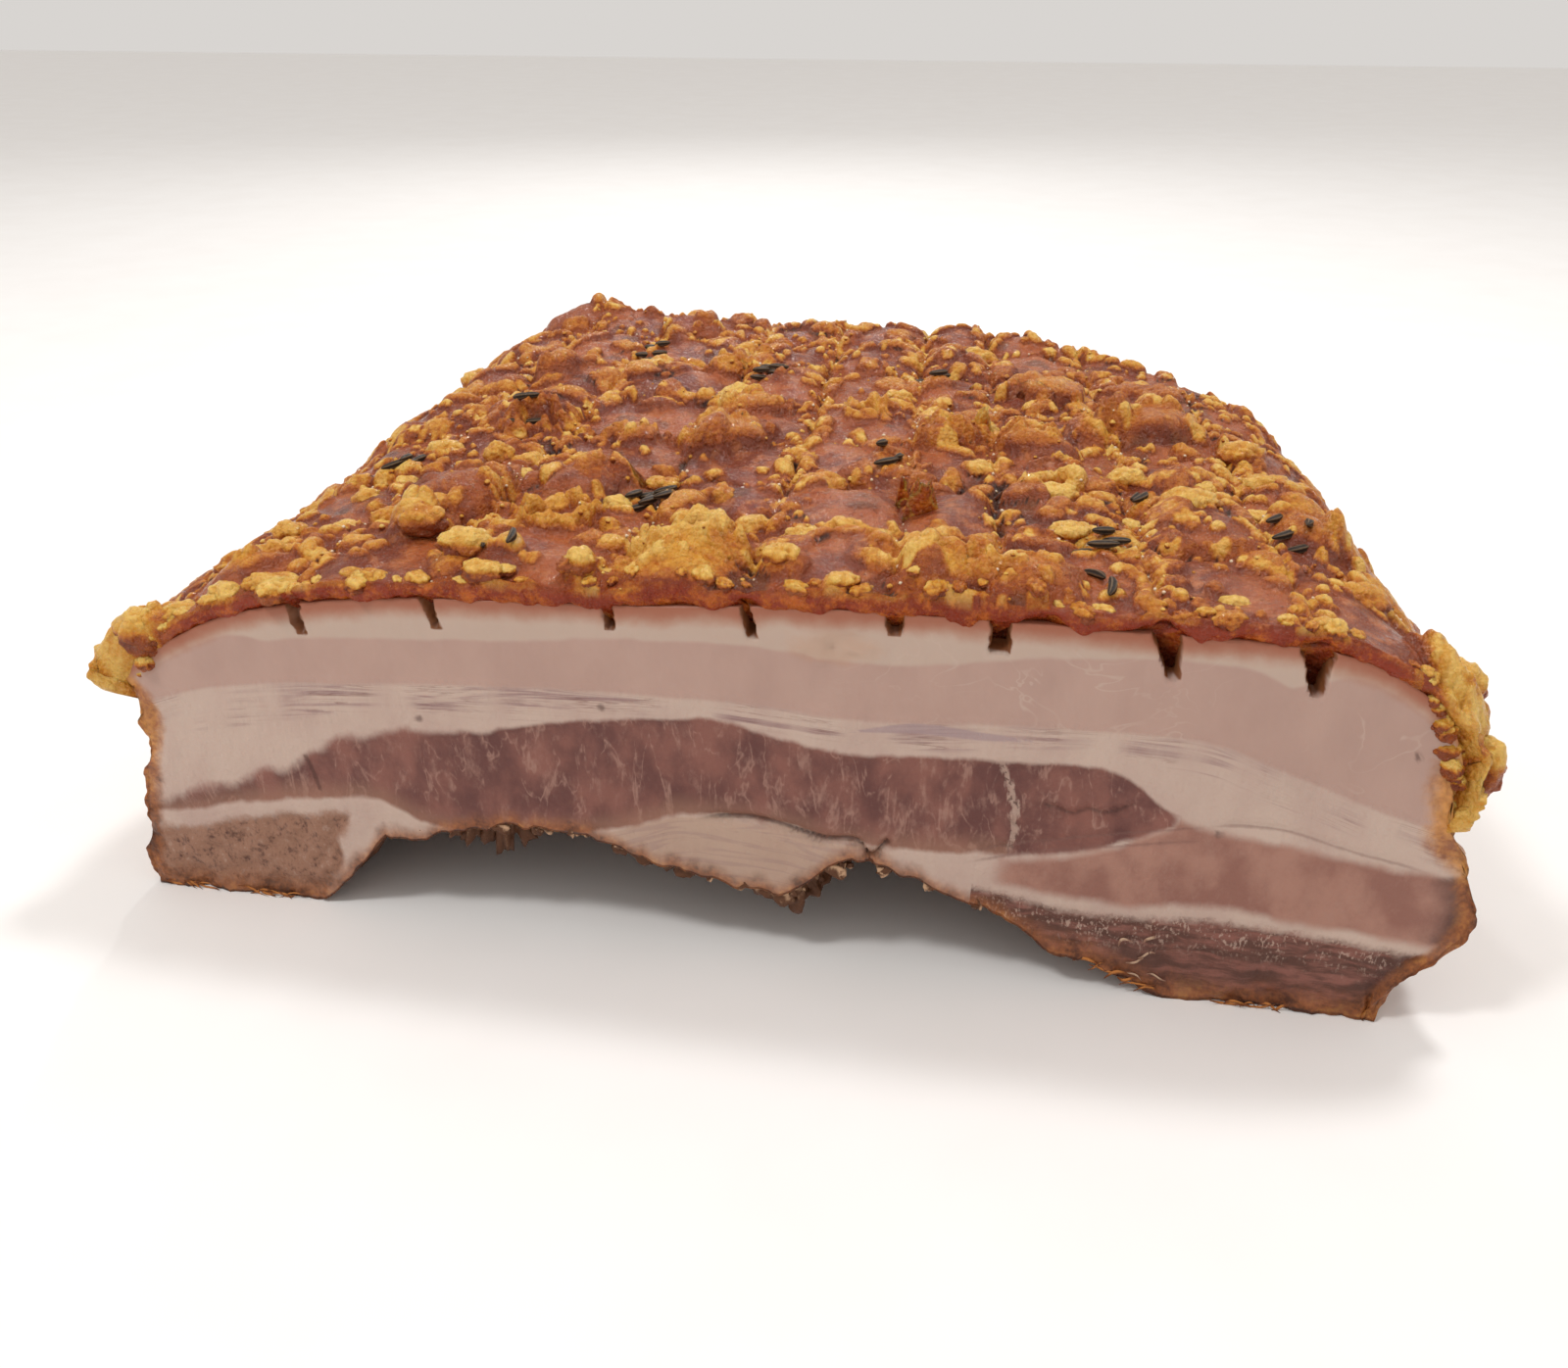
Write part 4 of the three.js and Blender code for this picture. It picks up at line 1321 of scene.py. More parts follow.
    def relief(self, flat: Array, fall: float | Array = 0) -> tuple[Array, Array, Array]:
        """Furrows, blisters and crumbs of the rind.

        Args:
            flat: Places seen from above, one to a row.
            fall: How far down the skirt each is, from 0 to 1.

        Returns:
            The height added, the heat, and the painted shade and char of each place.
        """
        drift = 1.1 * np.stack((smooth_noise(flat / 14, 81), smooth_noise(flat / 14, 82)), -1)
        away = JOINT.score_distance(*(flat + drift).T)
        inland = ease(flat[:, 1] - JOINT.front, 1, 8)
        broken = ease(rough_noise(flat / 7, 2, seed=80), -0.6, 0.3)
        furrow = np.exp(-((away / 0.75) ** 2)) * lerp(0.15, 1, inland) * lerp(0.35, 1, broken)
        settled = self.settle * (1 - ease(flat[:, 1] - JOINT.front, 0, 7)) * lerp(0.6, 1, broken)
        height = 0.4 * rough_noise(flat / 6, 3, seed=84) - JOINT.score_depth * furrow
        height -= settled * JOINT.swelling(*flat.T)
        banks = np.exp(-((away / 4) ** 2))
        heat = 0.08 + 0.12 * rough_noise(flat / 13, 2, seed=83) + 0.16 * banks
        heat += 0.1 * rough_noise(flat / 3, 2, seed=85)
        # Painted shade in the score furrows, plus darker patches of the rind's own tone
        dark = 0.7 * furrow + 0.6 * ease(rough_noise(flat / 9, 3, seed=86), 0.2, 0.9)
        for blister in self.domes:
            self.raise_dome(flat, blister, height, heat, dark)
        laid = self.unrolled(flat, fall)
        grains = bubble_noise(laid / 1.35, seed=87)
        popped = np.zeros(len(flat))
        for number, crowd in enumerate(self.crowds):
            swollen, cap, tone = self.pop(laid, crowd, number)
            share = ease(cap, 0.05, 0.9)
            popped = np.maximum(popped, swollen + 0.45 * grains * share)
            heat = np.maximum(lerp(heat, tone + 0.2 * (grains - 0.5), share), heat - 0.2 * share)
            # Painted shade in a ring round the foot of each pop; the pop itself clears the darkness under it
            dark = dark * (1 - 0.8 * share) + 0.5 * ease(cap, 0, 0.2) * (1 - ease(cap, 0.2, 0.5))
        height += popped * lerp(0.4, 1, ease(flat[:, 1] - JOINT.front, 0, 3))
        for crater in self.craters:
            self.raise_crater(flat, crater, height, heat, dark)
        return height, np.clip(heat, 0, 1), np.clip(dark, 0, 1)

    def height(self, flat: Array) -> Array:
        """Height of the finished rind at places seen from above."""
        return JOINT.crackling(*flat.T) + self.relief(flat)[0]

    def raise_dome(self, flat: Array, blister: Blister, height: Array, heat: Array, dark: Array) -> None:
        """Raises one blister in the rind.

        Args:
            flat: Places seen from above, one to a row.
            blister: The blister.
            height: Heights so far, which it changes.
            heat: Heats so far, which it changes.
            dark: Painted shade and char so far, which it changes.
        """
        middle = np.array((blister.across, JOINT.front + blister.back))
        offset = (flat - middle) / np.array((blister.stretch, 1))
        near = np.nonzero((np.abs(offset) < 1.4 * blister.radius).all(-1))[0]
        local = flat[near]
        seed = int(blister.across * 7 + blister.back)
        away = np.linalg.norm(offset[near], axis=-1) / blister.radius
        away = away * (1 + 0.3 * rough_noise(local / (0.6 * blister.radius + 1), 2, seed=seed))
        cap = np.sqrt(np.clip(1 - away**2, 0, 1))
        lumps = bubble_noise(local / (0.42 * blister.radius + 0.8), seed=seed + 3)
        beads = bubble_noise(local / 1.9, seed=seed + 5)
        height[near] += cap * (blister.height * lerp(1, 0.55 + 0.6 * lumps, blister.lobes) + 0.4 * beads)
        tone = blister.heat + 0.18 * (beads - 0.5) + 0.35 * blister.lobes * (lumps - 0.5)
        share = ease(cap, 0.05, 0.95)
        heat[near] = np.maximum(lerp(heat[near], tone, share), heat[near] - 0.3 * share)
        dark[near] *= 1 - 0.9 * share

    def raise_crater(
        self, flat: Array, crater: tuple[float, float, float, float], height: Array, heat: Array, dark: Array
    ) -> None:
        """Raises the wall of a blister that has burst.

        Args:
            flat: Places seen from above, one to a row.
            crater: Its place across and back, its radius and its heat.
            height: Heights so far, which it changes.
            heat: Heats so far, which it changes.
            dark: Painted shade and char so far, which it changes.
        """
        across, back, radius, tone = crater
        offset = (flat - np.array((across, JOINT.front + back))) / np.array((1.2 * radius, radius))
        near = np.nonzero((np.abs(offset) < 2).all(-1))[0]
        local = flat[near]
        away = np.linalg.norm(offset[near], axis=-1) * (1 + 0.3 * rough_noise(local / 3, 2, seed=int(back)))
        beads = bubble_noise(local / 2.2, seed=int(back) + 4)
        wall = np.exp(-(((away - 1) / 0.3) ** 2)) * (0.55 + 0.7 * beads)
        hollow = 1 - ease(away, 0.4, 0.85)
        height[near] = height[near] * (1 - hollow) - 0.6 * hollow + 0.6 * radius * wall
        heat[near] = lerp(lerp(heat[near], 0.34, hollow), tone + 0.3 * (beads - 0.4), ease(wall, 0.15, 0.8))
        # Painted shade in the burst blister's hollow, deeper where it is cooler; its wall clears the darkness
        dark[near] = lerp(dark[near] * (1 - ease(wall, 0.1, 0.5)), 0.35 + 0.5 * (tone < 0.4), hollow)

    def build(self, material: Material) -> list[Piece]:
        """The sheet in three patches that meet in scores.

        Args:
            material: The crackling's finish.

        Returns:
            The patches, from the front to the back.
        """
        points, numbers, (columns, rows) = self.sheet()
        middle = points.reshape(rows, columns, 3)[:, columns // 2, 1]
        scores = [JOINT.scores_across[number - 1] for number in self.seams]
        cuts = [0, *(int(np.argmin(np.abs(middle - score))) for score in scores), rows - 1]
        pieces = []
        for name, first, last in zip(("front", "middle", "back"), cuts, cuts[1:]):
            part = slice(first * columns, (last + 1) * columns)
            kept = {label: values[part] for label, values in numbers.items()}
            replaced = ("fat_cap",) if name == "front" else ()
            pieces.append(self.patch(f"crackling_{name}", points[part], kept, columns, material, replaced))
        return pieces

    def patch(
        self,
        name: str,
        points: Array,
        numbers: dict[str, Array],
        columns: int,
        material: Material,
        replaces: tuple[str, ...],
    ) -> Piece:
        """One patch of the sheet, closed underneath.

        Args:
            name: Name of the piece.
            points: Places of its points in the joint's own frame, row by row.
            numbers: Numbers for the finish, one for each point.
            columns: How many points a row has.
            material: The crackling's finish.
            replaces: CAD nodes that the patch stands for.

        Returns:
            The patch.
        """
        shape = bmesh.new()
        rows = len(points) // columns
        bmesh.ops.create_grid(shape, x_segments=columns - 1, y_segments=rows - 1, size=1)
        verts = list(shape.verts)
        share = (read_points(verts)[:, :2] + 1) / 2
        column, row = np.rint(share * np.array((columns - 1, rows - 1))).astype(int).T
        order = row * columns + column
        move_points(verts, JOINT.place(points[order]))
        rim = [edge for edge in shape.edges if edge.is_boundary]
        made = bmesh.ops.extrude_edge_only(shape, edges=rim)["geom"]
        below = [item for item in made if isinstance(item, bmesh.types.BMVert)]
        centre = Vector(JOINT.place(points).mean(0))
        behind_cut = JOINT.place(np.array([[0, JOINT.front + self.tuck, 0]]))[0][1]
        for vert in below:
            inward = Vector((centre.x - vert.co.x, 0, 0)).normalized()
            vert.co += (inward * self.tuck - Vector((0, 0, self.tuck))) * MM
            vert.co.y = max(vert.co.y, behind_cut)
        bmesh.ops.holes_fill(shape, edges=[edge for edge in shape.edges if edge.is_boundary], sides=0)
        bmesh.ops.recalc_face_normals(shape, faces=shape.faces)
        hidden = np.full(len(below), 0.2)
        whole = {label: np.concatenate((values[order], hidden)) for label, values in numbers.items()}
        return finish_piece(mesh_from(shape, name), material, Slot.CRACKLING, replaces, **whole)


@dataclass(frozen=True)
class Lump:
    """A popped lump of crackling, in millimetres.

    The place is across and back from the cut face. Length, width and height are half sizes, the turn is in
    degrees, heat runs from 0, smooth rind, to 1, pale gold, and some lie lower, on the joint's edge.
    """

    across: float
    back: float
    length: float
    width: float
    height: float
    heat: float = 0.7
    turn: float = 0
    lower: float = 0


@dataclass
class Popcorn:
    """Popped lumps of crackling: the main ones by place, and beads along the scores."""

    rind: Crackling
    main: tuple[Lump, ...] = tuple(Lump(*row) for row in (
        (-113, 2, 5, 4, 4.5, 0.75), (-105, 4, 4, 3.5, 3, 0.7, 20), (-95, 3, 4, 3.4, 3, 0.75, -10),
        (-103, 19, 4, 3.4, 3, 0.5, 30), (-86, 4, 6, 3, 2.6, 0.65, 10), (-97, 29, 4, 3.4, 3, 0.6),
        (-85, 29, 3.6, 3, 2.6, 0.8, 20), (-75, 27, 3.6, 2.8, 2.4, 0.9, -15), (-64, 19, 4.8, 3.6, 3, 0.55),
        (-84, 54, 3.2, 2.8, 2.6, 0.8), (-88, 44, 3.4, 2.8, 2.4, 0.65), (-82, 70, 4.8, 3.4, 3.2, 0.65),
        (-66, 63, 3.6, 3.4, 4, 0.6), (-68, 3, 5.5, 2.6, 2.4, 0.55, -12), (-51, 8, 5.2, 3.2, 3, 0.75, 12),
        (-56, 52, 2.6, 2.2, 2, 0.85), (-32, 38, 3.2, 2.6, 2.2, 0.85), (-26, 52, 4, 3, 2, 0.6),
        (-13, 45, 4, 3.6, 3.4, 0.45), (-22, 116, 6, 4.2, 4, 0.9), (-29, 3, 2.8, 2.6, 2.6, 0.8),
        (5, 6, 3.4, 2.6, 2.2, 0.7), (7, 24, 4.6, 3.4, 3.2, 0.75), (14, 25, 4.6, 3.6, 4, 0.65),
        (0, 72, 5, 3.8, 3.2, 0.6), (7, 53, 5, 4, 3, 0.5), (19, 119, 4.4, 3, 2.8, 0.7),
        (41, 95, 3, 2, 4.6, 0.95, 60), (52, 48, 4.4, 3, 2.4, 0.85), (54, 31, 4.6, 3, 2.4, 0.8, 15),
        (67, 63, 4.2, 3.2, 2.8, 0.75), (65, 41, 3.2, 2.6, 2.4, 0.85), (76, 46, 5.6, 3.8, 3.2, 0.75),
        (82, 61, 3.4, 2.6, 2.4, 0.8), (93, 86, 5.4, 3.6, 2.8, 0.6, 20), (95, 70, 5.6, 3.4, 3, 0.65, 15),
        (90, 52, 4.6, 3, 2.6, 0.7), (78, 9, 3, 2, 1.8, 0.85), (101, 24, 5.4, 4, 3, 0.5),
        (115, 12, 4.5, 4, 5, 0.75), (118, 4, 3.6, 3, 5.5, 0.8), (-50, 133, 6, 4, 3, 0.65),
        (-99, 128, 6, 4.4, 3.6, 0.65), (38, 158, 6, 4, 3.2, 0.65),
    ))
    on_rim: int = 44
    rim_span: tuple[float, float] = (-106, 104)
    ends: tuple[float, float] = (-9, 12)
    end_span: tuple[float, float] = (105, 114)
    end_size: tuple[float, float] = (1.0, 2.1)
    at_end: int = 22
    bead: tuple[float, float] = (0.3, 0.75)
    beads: int = 650
    sink: float = -0.4

    def build(self, material: Material) -> list[Piece]:
        """The main lumps and the beads in the crackling's finish, each kind as one piece."""
        return [
            self.crowd("popped_lumps", [*self.main, *self.along_rim(), *self.at_ends()], 4, material),
            self.crowd("beads", self.scattered(), 2, material),
        ]

    def along_rim(self) -> list[Lump]:
        """Lumps along the rind's front edge, larger and more golden at its left."""
        lumps = []
        for index in range(self.on_rim):
            x = lerp(*self.rim_span, (index + spread(index, SPREAD_X)) / self.on_rim)
            left = float(x < -44)
            size = lerp(0.9, 2.2 + 0.6 * left, spread(index, SPREAD_SIZE) ** 1.5)
            heat = lerp(0.3 + 0.3 * left, 0.85, spread(index, SPREAD_Y))
            back = 0.9 + 2 * spread(index, SPREAD_LENGTH)
            lumps.append(Lump(x, back, 1.5 * size, size, 0.8 * size, heat, 15 * index))
        return lumps

    def at_ends(self) -> list[Lump]:
        """Lumps that hang over the two ends of the cut face."""
        lumps = []
        for drop in self.ends:
            for index in range(self.at_end):
                share = (index + spread(index, SPREAD_X)) / self.at_end
                x = math.copysign(lerp(*self.end_span, share**0.7), drop)
                size = lerp(*self.end_size, spread(index, SPREAD_SIZE))
                back = 0.4 + 3 * spread(index, SPREAD_Y)
                heat = 0.65 + 0.3 * (index % 2)
                lower = abs(drop) * share
                lumps.append(Lump(x, back, 1.2 * size, size, size, heat, 30 * index, lower))
        return lumps

    def scattered(self) -> list[Lump]:
        """Tiny beads all over the rind, thicker along its scores."""
        index = np.arange(4 * self.beads)
        x, y = JOINT.strewn(index, SPREAD_X, SPREAD_Y)
        away = JOINT.score_distance(x, y)
        wanted = np.exp(-away / 4) + 0.4 * rough_noise(np.stack((x, y), -1) / 10, 2, seed=88)
        keep = (wanted > 0.3 + 0.5 * spread(index, SPREAD_SIZE)) & (JOINT.edge_distance(x, y) > 1)
        chosen = index[keep][: self.beads]
        sizes = lerp(*self.bead, spread(chosen, SPREAD_LENGTH) ** 2)
        heats = 0.5 + 0.5 * spread(chosen, SPREAD_SIZE)
        backs = y[chosen] - JOINT.front
        return [Lump(a, b, s, s, s, h) for a, b, s, h in zip(x[chosen], backs, sizes, heats)]

    def crowd(
        self, name: str, lumps: list[Lump], detail: int, material: Material
    ) -> Piece:
        """Many lumps as one piece.

        Args:
            name: Name of the piece.
            lumps: The lumps.
            detail: How finely each is divided.
            material: The crackling's finish.

        Returns:
            The piece.
        """
        flat = np.array([(lump.across, JOINT.front + lump.back) for lump in lumps])
        ground = self.rind.height(flat)
        ball = Pattern.ball(detail)
        unit = ball.points
        copies, heats, darks = [], [], []
        for index, lump in enumerate(lumps):
            seen = unit + 5.3 * (index + 1)
            lobes = 0.65 * bubble_noise(seen * 1.35, seed=index)
            lobes += 0.35 * bubble_noise(seen * 2.9, seed=index + 7)
            fine = rough_noise(seen * 3.4, 3, seed=index)
            reach = 0.6 + 0.55 * lobes + 0.08 * fine if detail > 2 else 1 + 0.12 * fine
            local = unit * reach[:, None] * np.array((lump.length, lump.width, lump.height))
            turn = Matrix.Rotation(math.radians(lump.turn), 3, "Z")
            centre = np.array((*flat[index], ground[index] + self.sink * lump.height - lump.lower))
            copies.append(JOINT.place(local @ np.array(turn).T + centre))
            rise = ease(unit[:, 2], -0.15, 0.6)
            heats.append(lerp(0.22, lump.heat + 0.12, rise) + 0.4 * (lobes - 0.6) + 0.12 * fine)
            # Painted shade in the creases between each lump's lobes and on its underside
            darks.append(0.5 * (1 - lobes) ** 2 + 0.3 * ease(-unit[:, 2], -0.1, 0.4))
        numbers = {"crisp": np.concatenate(heats), "dark": np.concatenate(darks)}
        return finish_piece(ball.joined(name, copies), material, Slot.CRACKLING, **numbers)


@dataclass(frozen=True)
class Flake:
    """A thin flake of rind, in millimetres.

    Its foot is across and back from the cut face. From there it reaches forward and rises, arched across its
    width, and its turn is in degrees. Heat is as on a lump.
    """

    across: float
    back: float
    width: float
    reach: float
    rise: float
    arch: float
    heat: float
    turn: float = 0


@dataclass
class Flakes:
    """Thin flakes of rind that stand up."""

    rind: Crackling
    thickness: float = 1.1
    steps: int = 20
    flakes: tuple[Flake, ...] = tuple(Flake(*row) for row in (
        (27, 38, 7.5, 1, 8, -1.2, 0.34, 20), (38, 92, 8, 1, 6, -1.2, 0.8, 40),
        (24, 42, 5, 1, 6, 1.2, 0.28, -35),
    ))

    def build(self, material: Material) -> Piece:
        """The flakes as one piece.

        Args:
            material: The crackling's finish.

        Returns:
            The piece.
        """
        shape = bmesh.new()
        heats = []
        for index, flake in enumerate(self.flakes):
            before = len(shape.verts)
            made = bmesh.ops.create_grid(shape, x_segments=self.steps, y_segments=self.steps, size=1)["verts"]
            points = self.bend(read_points(made), flake, index)
            move_points(made, JOINT.place(points))
            faces = list({face for vert in made for face in vert.link_faces})
            bmesh.ops.solidify(shape, geom=faces, thickness=self.thickness * MM)
            shape.verts.ensure_lookup_table()
            places = read_points(shape.verts[before:]) / MM
            heats.append(flake.heat + 0.3 * rough_noise(places / 2.5, 3, seed=index))
        bmesh.ops.recalc_face_normals(shape, faces=shape.faces)
        heat = np.concatenate(heats)
        dark = 0.2 * ease(0.45 - heat, 0, 0.3)
        return finish_piece(mesh_from(shape, "rind_flakes"), material, Slot.CRACKLING, crisp=heat, dark=dark)

    def bend(self, unit: Array, flake: Flake, index: int) -> Array:
        """Bends a square into a flake.

        Args:
            unit: Places on a square from -1 to 1.
            flake: The flake.
            index: Number that tells it from the others.

        Returns:
            The places in the joint's own frame.
        """
        u, v = unit[:, 0], (unit[:, 1] + 1) / 2
        torn = rough_noise(np.stack((u * flake.width / 5, v * 0 + index), -1), 3, seed=index)
        v = v * (1 + 0.1 * torn)
        x = u * flake.width / 2 * (1 - 0.7 * v)
        forward = flake.reach * v - flake.arch * (1 - u**2) * v
        up = flake.rise * v
        seen = np.stack((x, flake.reach * v + up), -1) / 3 + 9 * index
        lumpy = 0.3 * rough_noise(seen, 2, seed=index)
        local = np.stack((x, -forward + lumpy, up + lumpy), -1)
        turn = np.array(Matrix.Rotation(math.radians(flake.turn), 3, "Z"))
        foot = np.array([[flake.across, JOINT.front + flake.back]])
        return local @ turn.T + np.array((*foot[0], self.rind.height(foot)[0] - 0.6))


@dataclass
class Seeds:
    """Caraway seeds on the rind, in loose groups."""

    rind: Crackling
    finish: SpeckFinish = SpeckFinish("caraway", (40, 30, 24), (104, 84, 62), 0.5)
    groups: tuple[tuple[float, float, int, float], ...] = (
        (-26, 41, 8, 50), (58, 25, 5, 10), (-88, 62, 6, 70), (-68, 84, 4, 20), (-53, 143, 5, 15),
        (69, 52, 3, 60), (56, 10, 2, 110), (94, 40, 4, 50), (-16, 126, 5, 0), (27, 132, 4, 30),
        (-47, 9, 2, 115), (20, 62, 3, 40),
    )
    length: float = 5.4
    thickness: float = 1.5
    ridges: int = 5

    def build(self) -> Piece:
        """The seeds as one piece."""
        lying = Matrix.Rotation(math.pi / 2, 4, "Y")
        shape = bmesh.new()
        bmesh.ops.create_uvsphere(shape, u_segments=4 * self.ridges, v_segments=10, radius=1, matrix=lying)
        shape.verts.index_update()
        pattern = Pattern.of(shape)
        ridge = 0.5 + 0.5 * np.cos(self.ridges * np.arctan2(pattern.points[:, 2], pattern.points[:, 1]))
        copies = []
        for across, back, count, heading in self.groups:
            for index in range(len(copies), len(copies) + count):
                away = 1.2 + 3.6 * spread(index, SPREAD_X)
                around = GOLDEN_TURN * index
                flat = np.array([[
                    across + away * math.cos(around), JOINT.front + back + away * math.sin(around),
                ]])
                turn = math.radians(heading) + lerp(-0.7, 0.7, spread(index, SPREAD_Y))
                copies.append(self.seed(pattern.points, ridge, flat, turn, index))
        mesh = pattern.joined("caraway_seeds", copies)
        return finish_piece(mesh, self.finish.build(), Slot.CRACKLING, ridge=np.tile(ridge, len(copies)))

    def seed(self, unit: Array, ridge: Array, flat: Array, turn: float, index: int) -> Array:
        """One seed: a slim ridged crescent that lies on the rind.

        Args:
            unit: Places on a ball of radius 1.
            ridge: How much each of them stands on a ridge.
            flat: The seed's place seen from above.
            turn: Its heading, in radians.
            index: Number that tells it from the others.

        Returns:
            The places in the CAD frame.
        """
        length = self.length * (0.85 + 0.3 * spread(index, SPREAD_SIZE))
        round_size = self.thickness * (0.78 + 0.3 * ridge)[:, None]
        local = np.concatenate((unit[:, :1] * length, unit[:, 1:] * round_size), -1) / 2
        local[:, 1] += 0.5 * (unit[:, 0] ** 2 - 0.4)
        tilt = Matrix.Rotation(0.5 * spread(index, SPREAD_Y) - 0.25, 3, "Y")
        turned = Matrix.Rotation(turn, 3, "Z") @ tilt
        centre = np.array((*flat[0], self.rind.height(flat)[0] + 0.35 * self.thickness))
        return JOINT.place(local @ np.array(turned).T + centre)


@dataclass
class Crumbs:
    """Pale crumbs of fat and salt, mostly in the scores of the rind."""

    rind: Crackling
    # Crumb colours, paler on top and darker underneath: painted light and shade
    finish: SpeckFinish = SpeckFinish("pale_crumbs", (206, 176, 140), (232, 214, 190), 0.4)
    count: int = 420
    size: tuple[float, float] = (0.25, 0.7)

    def build(self) -> Piece:
        """The crumbs as one piece."""
        index = np.arange(12 * self.count)
        x, y = JOINT.strewn(index, SPREAD_Y, SPREAD_X)
        wanted = (JOINT.score_distance(x, y) < 1.2) & (JOINT.edge_distance(x, y) > 2)
        chosen = index[wanted & (spread(index, SPREAD_SIZE) < 0.7)][: self.count]
        flat = np.stack((x[chosen], y[chosen]), -1)
        ground = self.rind.height(flat)
        sizes = lerp(*self.size, spread(chosen, SPREAD_SIZE) ** 2)
        ball = Pattern.ball(1)
        unit = ball.points
        copies = []
        for place, height, size, number in zip(flat, ground, sizes, chosen.tolist()):
            uneven = 1 + 0.3 * smooth_noise(unit * 1.7 + number, number)
            copies.append(JOINT.place(unit * (uneven * size)[:, None] + np.array((*place, height))))
        mesh = ball.joined("pale_crumbs", copies)
        # Painted light and shade: each crumb is paler on top and darker underneath
        ridge = np.tile(0.5 + 0.5 * unit[:, 2], len(copies))
        return finish_piece(mesh, self.finish.build(), Slot.FAT, ridge=ridge)


@dataclass
class Rags:
    """Torn rags of fat and membrane that hang under the arch, browned at their ends."""

    finish: SpeckFinish = SpeckFinish("rags", (92, 58, 38), (190, 152, 120), 0.45)
    places: tuple[tuple[float, float], ...] = ((-44, 38), (-36, 118), (9, 7), (4, 80), (26, 150))
    size: tuple[float, float, float] = (5, 5, 7)
    hanging: tuple[tuple[float, float, float, float], ...] = (
        (-56, 2.4, 1.8, 3.5), (-53, 3, 2.2, 6), (-50, 4.5, 2.4, 8.5), (-47, 3.5, 2, 9.5),
        (-44.5, 5, 2.2, 6.5), (-41, 4, 1.8, 3), (-24, 2, 2.2, 2.6), (-20, 2.4, 2.6, 3),
        (-16, 2.2, 2.4, 2.6), (-12.5, 1.8, 2, 2.2), (2, 2, 2.4, 2.6), (5, 2, 2.6, 3.5), (8, 2.4, 2.2, 6),
    )
    wisps: int = 140
    wisp_size: tuple[float, float] = (0.5, 1.5)
    wisp_span: tuple[float, float] = (-68, 44)
    wisp_reach: float = 70

    def build(self) -> Piece:
        """The rags as one piece, and the small torn wisps along the arch's edge as another."""
        ball = Pattern.ball(4)
        copies, ridges = [], []
        for index, (across, back) in enumerate(self.places):
            copy, ridge = self.rag(ball.points, across, back, self.size, 0.4 - 0.3 * (index % 3), index)
            copies.append(copy)
            ridges.append(ridge)
        small = Pattern.ball(3)
        torn, tones = [], []
        for index, (across, back, wide, tall) in enumerate(self.hanging, 110):
            size, tilt = (wide, 0.8 * wide, tall), -0.3 * math.sin(index)
            copy, ridge = self.rag(small.points, across, back, size, tilt, index)
            torn.append(copy)
            tones.append(ridge - 0.15)
        for index in range(self.wisps):
            across = lerp(*self.wisp_span, spread(index, SPREAD_X))
            back = 0.8 + self.wisp_reach * spread(index, SPREAD_Y) ** 3
            wide = lerp(*self.wisp_size, spread(index, SPREAD_SIZE) ** 2)
            size = (1.5 * wide, wide, 0.9 * wide)
            copy, ridge = self.rag(small.points, across, back, size, index, index + 20)
            torn.append(copy)
            tones.append(ridge - 0.25)
        finish = self.finish.build()
        finish_piece(small.joined("torn_wisps", torn), finish, Slot.FAT, ridge=np.concatenate(tones))
        return finish_piece(ball.joined("rags", copies), finish, Slot.FAT, ridge=np.concatenate(ridges))

    def rag(
        self,
        unit: Array,
        across: float,
        back: float,
        size: tuple[float, float, float],
        tilt: float,
        index: int,
    ) -> tuple[Array, Array]:
        """One rag.

        Args:
            unit: Places on a ball of radius 1.
            across: Its place across.
            back: Its place back from the cut face.
            size: Its half sizes.
            tilt: How far it leans about the depth, in radians.
            index: Number that tells it from the others.

        Returns:
            The places in the CAD frame, and how pale each is.
        """
        seen = unit * np.array((2.0, 1.6, 0.3 * min(size[2], 8))) + 4.1 * index
        folds = rough_noise(seen, 3, seed=index)
        local = unit * (0.8 + 0.45 * folds)[:, None] * np.array(size)
        local[:, :2] *= 1 + 0.7 * unit[:, 2:] ** 2
        turned = local @ np.array(Matrix.Rotation(tilt, 3, "Y")).T
        flat = np.array([[across, JOINT.front + back]])
        roof = JOINT.underside(*flat.T)[0]
        placed = turned + np.array((*flat[0], roof))
        placed[:, 1] = np.maximum(placed[:, 1], JOINT.front + 0.2 * folds)
        return JOINT.place(placed), 0.55 + 0.5 * unit[:, 2] + 0.5 * folds


